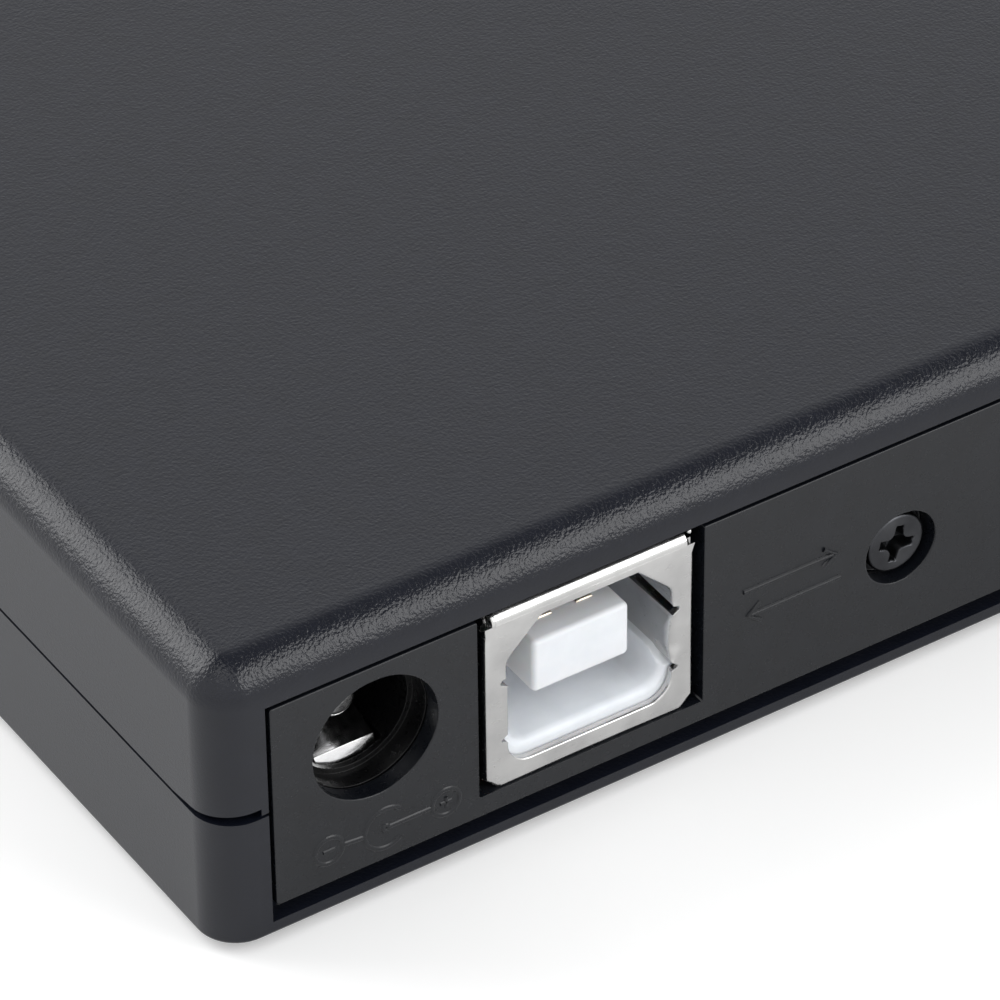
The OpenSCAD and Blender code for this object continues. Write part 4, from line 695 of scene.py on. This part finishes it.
def core_floor(bm):
    """Floor of the core, with a ledge on each side of a rounded trough."""
    rows = []
    for depth, wear in CORE_FRONT:
        top = LEDGE_Z - LEDGE_SLOPE * max(0.0, SLOPE_END - depth)
        r = TROUGH_R + wear
        side = TROUGH_U + r
        row = [(CORE_HALF_W, CORE_LOW), (CORE_HALF_W, top), (side + 0.2, top), (side + 0.06, top - 0.04),
               (side, max(top - 0.14, TROUGH_Z + 0.02))]
        row += [(TROUGH_U + r * math.cos(a), TROUGH_Z - r * math.sin(a)) for a in quarter_turn(10)]
        row += [(-u, z) for u, z in row[::-1]]
        rows.append([in_socket(u, z, depth) for u, z in row])
    loft(bm, rows)


def core_tongue(bm):
    """Tongue of the core, with a rounded tip."""
    corners = [(TONGUE_U, TONGUE_TOP), (-TONGUE_U, TONGUE_TOP)]
    corners += [(-TONGUE_U, TONGUE_LOW), (TONGUE_U, TONGUE_LOW)]
    tip = [(TONGUE_TIP + TIP_R * (1 - math.cos(a)), TIP_R * (1 - math.sin(a))) for a in quarter_turn(6)]
    rows = []
    for depth, shrink in tip + [(9.5, 0.0)]:
        r = TONGUE_R - shrink
        row = []
        for k, (u, z) in enumerate(corners):
            angles = [math.pi / 2 * k + a for a in quarter_turn(6)]
            row += [in_socket(u + r * math.cos(a), z + r * math.sin(a), depth) for a in angles]
        rows.append(row)
    loft(bm, rows)


def socket_core():
    bm = bmesh.new()
    core_floor(bm)
    core_tongue(bm)
    bar(bm, (-CORE_HALF_W, CORE_HALF_W), (CORE_LOW, CORE_TOP), (9.3, 12, 16))
    core = add_piece("socket_white_core", bm, "case", "socket_white")
    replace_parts(core, "usb_socket_insulator")
    soften(core)


# Crests of the contacts: their places across the tongue, and the tongue's two faces with the way out of each
CONTACT_U = (-1.22, 1.12)
TONGUE_FACES = ((11.0, 1), (7.85, -1))
CREST_DEPTH, CREST_HALF_L, CREST_HALF_W = 2.36, 0.15, 0.47
CREST_RISE, CREST_SINK, CREST_FOOT, CREST_EDGE = 0.16, 0.015, 0.03, 0.05


def contact_crests():
    """Crests of the contacts in the windows of the core."""
    bm = bmesh.new()
    for u in CONTACT_U:
        for z, side in TONGUE_FACES:
            rows = []
            for a in [math.pi * k / 8 for k in range(9)]:
                rise = side * (CREST_RISE * math.sin(a) - CREST_SINK)
                flank = [(CREST_HALF_W, -CREST_FOOT * side), (CREST_HALF_W, rise * 0.6),
                         (CREST_HALF_W - CREST_EDGE, rise)]
                section = [(-du, dz) for du, dz in flank] + flank[::-1]
                depth = CREST_DEPTH - CREST_HALF_L * math.cos(a)
                rows.append([in_socket(u + du, z + dz, depth) for du, dz in section])
            loft(bm, rows)
    soften(add_piece("socket_contact_crests", bm, "case", "contact_gold"))


# Panel screws: their place from the solids, and the cross recess with its wings
HEAD_R, RIM_R, CROWN = 1.7, 0.2, 0.012
SCREW_LOW, SCREW_HIGH = cad_box("panel_screws")
SCREW_X, SCREW_FACE = SCREW_HIGH[0] - HEAD_R, SCREW_HIGH[1]
SCREW_Z = (SCREW_LOW[2] + SCREW_HIGH[2]) / 2
TURNED_COS, TURNED_SIN = 0.974, 0.225
WING_HALF_W, WING_REACH, WING_BLEND = 0.27, 1.06, 0.5
RECESS_DEPTH, RECESS_SLOPE, HEAD_DEPTH = 0.85, 0.13, 0.7
HEAD_RINGS, CENTRE_R = 56, 0.004


def phillips(u, v, r):
    """Height of a screw head over its face, with rounded rim and cross recess."""
    height = -CROWN * r * r
    rim = r - (HEAD_R - RIM_R)
    if rim > 0:
        height -= RIM_R - math.sqrt(max(RIM_R * RIM_R - rim * rim, 0.0))
    u, v = u * TURNED_COS - v * TURNED_SIN, u * TURNED_SIN + v * TURNED_COS
    a = max(abs(u) - WING_HALF_W, abs(v) - WING_REACH)
    b = max(abs(v) - WING_HALF_W, abs(u) - WING_REACH)
    mix = max(WING_BLEND - abs(a - b), 0.0) / WING_BLEND
    edge = min(a, b) - mix * mix * WING_BLEND / 4
    return height - RECESS_DEPTH * min(max(-edge / RECESS_SLOPE, 0.0), 1.0)


def screw_heads():
    bm = bmesh.new()
    for side in (1, -1):
        rows = []
        for k in range(HEAD_RINGS + 1):
            r = HEAD_R * k / HEAD_RINGS if k else CENTRE_R
            row = []
            for angle in whole_turn(160):
                u, v = r * math.cos(angle), r * math.sin(angle)
                row.append(Vector((side * SCREW_X - u, SCREW_FACE + phillips(u, v, r), SCREW_Z + v)) * MM)
            rows.append(row)
        rows.append([p - Vector((0.0, HEAD_DEPTH * MM, 0.0)) for p in rows[-1]])
        loft(bm, rows)
    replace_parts(add_piece("panel_screw_heads", bm, "case", "black_screw"), "panel_screws")


# Ribbon: its sides, its height, its fold, and its ends on the case and on the drawer, along Y
RIBBON_LOW, RIBBON_HIGH = cad_box("flex_ribbon")
HALF_FILM, NOSE, FOLD_OUT, FOLD_R = 0.09, 0.3, 0.36, 0.32
LOWER_Z = RIBBON_LOW[2] + HALF_FILM
UPPER_Z = LOWER_Z + 2 * FOLD_R
TURN, CASE_END, DRAWER_END = RIBBON_LOW[1] + NOSE, RIBBON_HIGH[1], 19.5


def ribbon_run(name, line):
    """Stretch of the flat ribbon, lofted along a line of Y and Z points."""
    left, right = RIBBON_LOW[0], RIBBON_HIGH[0]
    bm = bmesh.new()
    rows = []
    for i, (y, z) in enumerate(line):
        along = direction(line[max(i - 1, 0)], line[min(i + 1, len(line) - 1)]) * HALF_FILM
        rows.append([Vector((x, y - along.y * s, z + along.x * s)) * MM
                     for x, s in ((left, -1), (left, 1), (right, 1), (right, -1))])
    loft(bm, rows)
    piece = add_piece(name, bm, None, "ribbon_film", False)
    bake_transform(piece)
    return piece


def ribbon():
    """Lower run with the fold, and upper run."""
    lower = [(CASE_END + (TURN - CASE_END) * i / 48, LOWER_Z) for i in range(48)]
    for a in [math.pi * i / 12 for i in range(13)]:
        lower.append((TURN - FOLD_OUT * math.sin(a), LOWER_Z + FOLD_R - FOLD_R * math.cos(a)))
    upper = [(TURN + (DRAWER_END - TURN) * i / 40, UPPER_Z) for i in range(41)]
    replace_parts(ribbon_run("ribbon_lower_run", lower), "flex_ribbon")
    ribbon_run("ribbon_upper_run", upper)


polarity_sign()
data_arrows()
socket_shell()
socket_core()
contact_crests()
screw_heads()
ribbon()

# Floor, world and lamps, in metres. The lamps are aimed at one point
WHITE = (1.0, 1.0, 1.0, 1.0)
AIM = (0.0, 0.0, 0.01)


def pale_floor():
    """Pale floor, which keeps the object's shadow and looks lighter to the camera and in reflections."""
    g = Surface("pale_floor")
    g.set(rough=0.9, spec=0.0)
    g.colour(g.ramp(g.noise(40, 3), 0.3, 0.7), (0.83, 0.83, 0.83), (0.85, 0.85, 0.85))
    camera_ray, mirrored = g.rays()
    seen = g.math("MAXIMUM", camera_ray, g.math("MULTIPLY", mirrored, 0.4))
    g.shader.inputs["Emission Color"].default_value = WHITE
    g.links.new(g.math("MULTIPLY", seen, 0.26), g.shader.inputs["Emission Strength"])
    mesh = bpy.data.meshes.new("floor")
    bm = bmesh.new()
    bmesh.ops.create_grid(bm, x_segments=8, y_segments=8, size=3.0)
    bm.to_mesh(mesh)
    bm.free()
    mesh.materials.append(MATERIAL["pale_floor"])
    floor = add_object("floor", mesh)


def studio_world():
    """Even light on the object. To the camera and in reflections the world is white, and dimmer overhead."""
    world = bpy.data.worlds.new("studio")
    bpy.context.scene.world = world
    world.use_nodes = True
    g = Nodes(world.node_tree, "Generated")
    camera_ray, mirrored = g.rays()
    overhead = g.ramp(g.z_of(g.coord), 0.64, 0.84, 1.24, 0.4, "SMOOTHSTEP")
    mix = g.nodes.new("ShaderNodeMixShader")
    g.links.new(g.math("MAXIMUM", mirrored, camera_ray), mix.inputs[0])
    for i, strength in ((1, 0.6), (2, overhead)):
        background = g.nodes.new("ShaderNodeBackground")
        background.inputs["Color"].default_value = WHITE
        g.feed(background.inputs["Strength"], strength)
        g.links.new(background.outputs[0], mix.inputs[i])
    out = g.nodes.new("ShaderNodeOutputWorld")
    g.links.new(mix.outputs[0], out.inputs[0])


def softbox(name, place, size, power):
    """Rectangular lamp of a width and a height."""
    data = bpy.data.lights.new(name, "AREA")
    data.shape = "RECTANGLE"
    data.size, data.size_y = size
    data.energy = power
    lamp = add_object(name, data)
    lamp.location = place
    lamp.visible_camera = False
    lamp.rotation_euler = (Vector(AIM) - Vector(place)).to_track_quat("-Z", "Y").to_euler()


pale_floor()
studio_world()
softbox("key_box", (0.515, -0.645, 0.534), (0.66, 0.91), 6.1)
softbox("low_box", (-0.44, 0.74, 0.49), (0.62, 0.71), 4.4)
softbox("top_box", (0.38, 0.38, 0.9), (0.6, 0.6), 1.7)
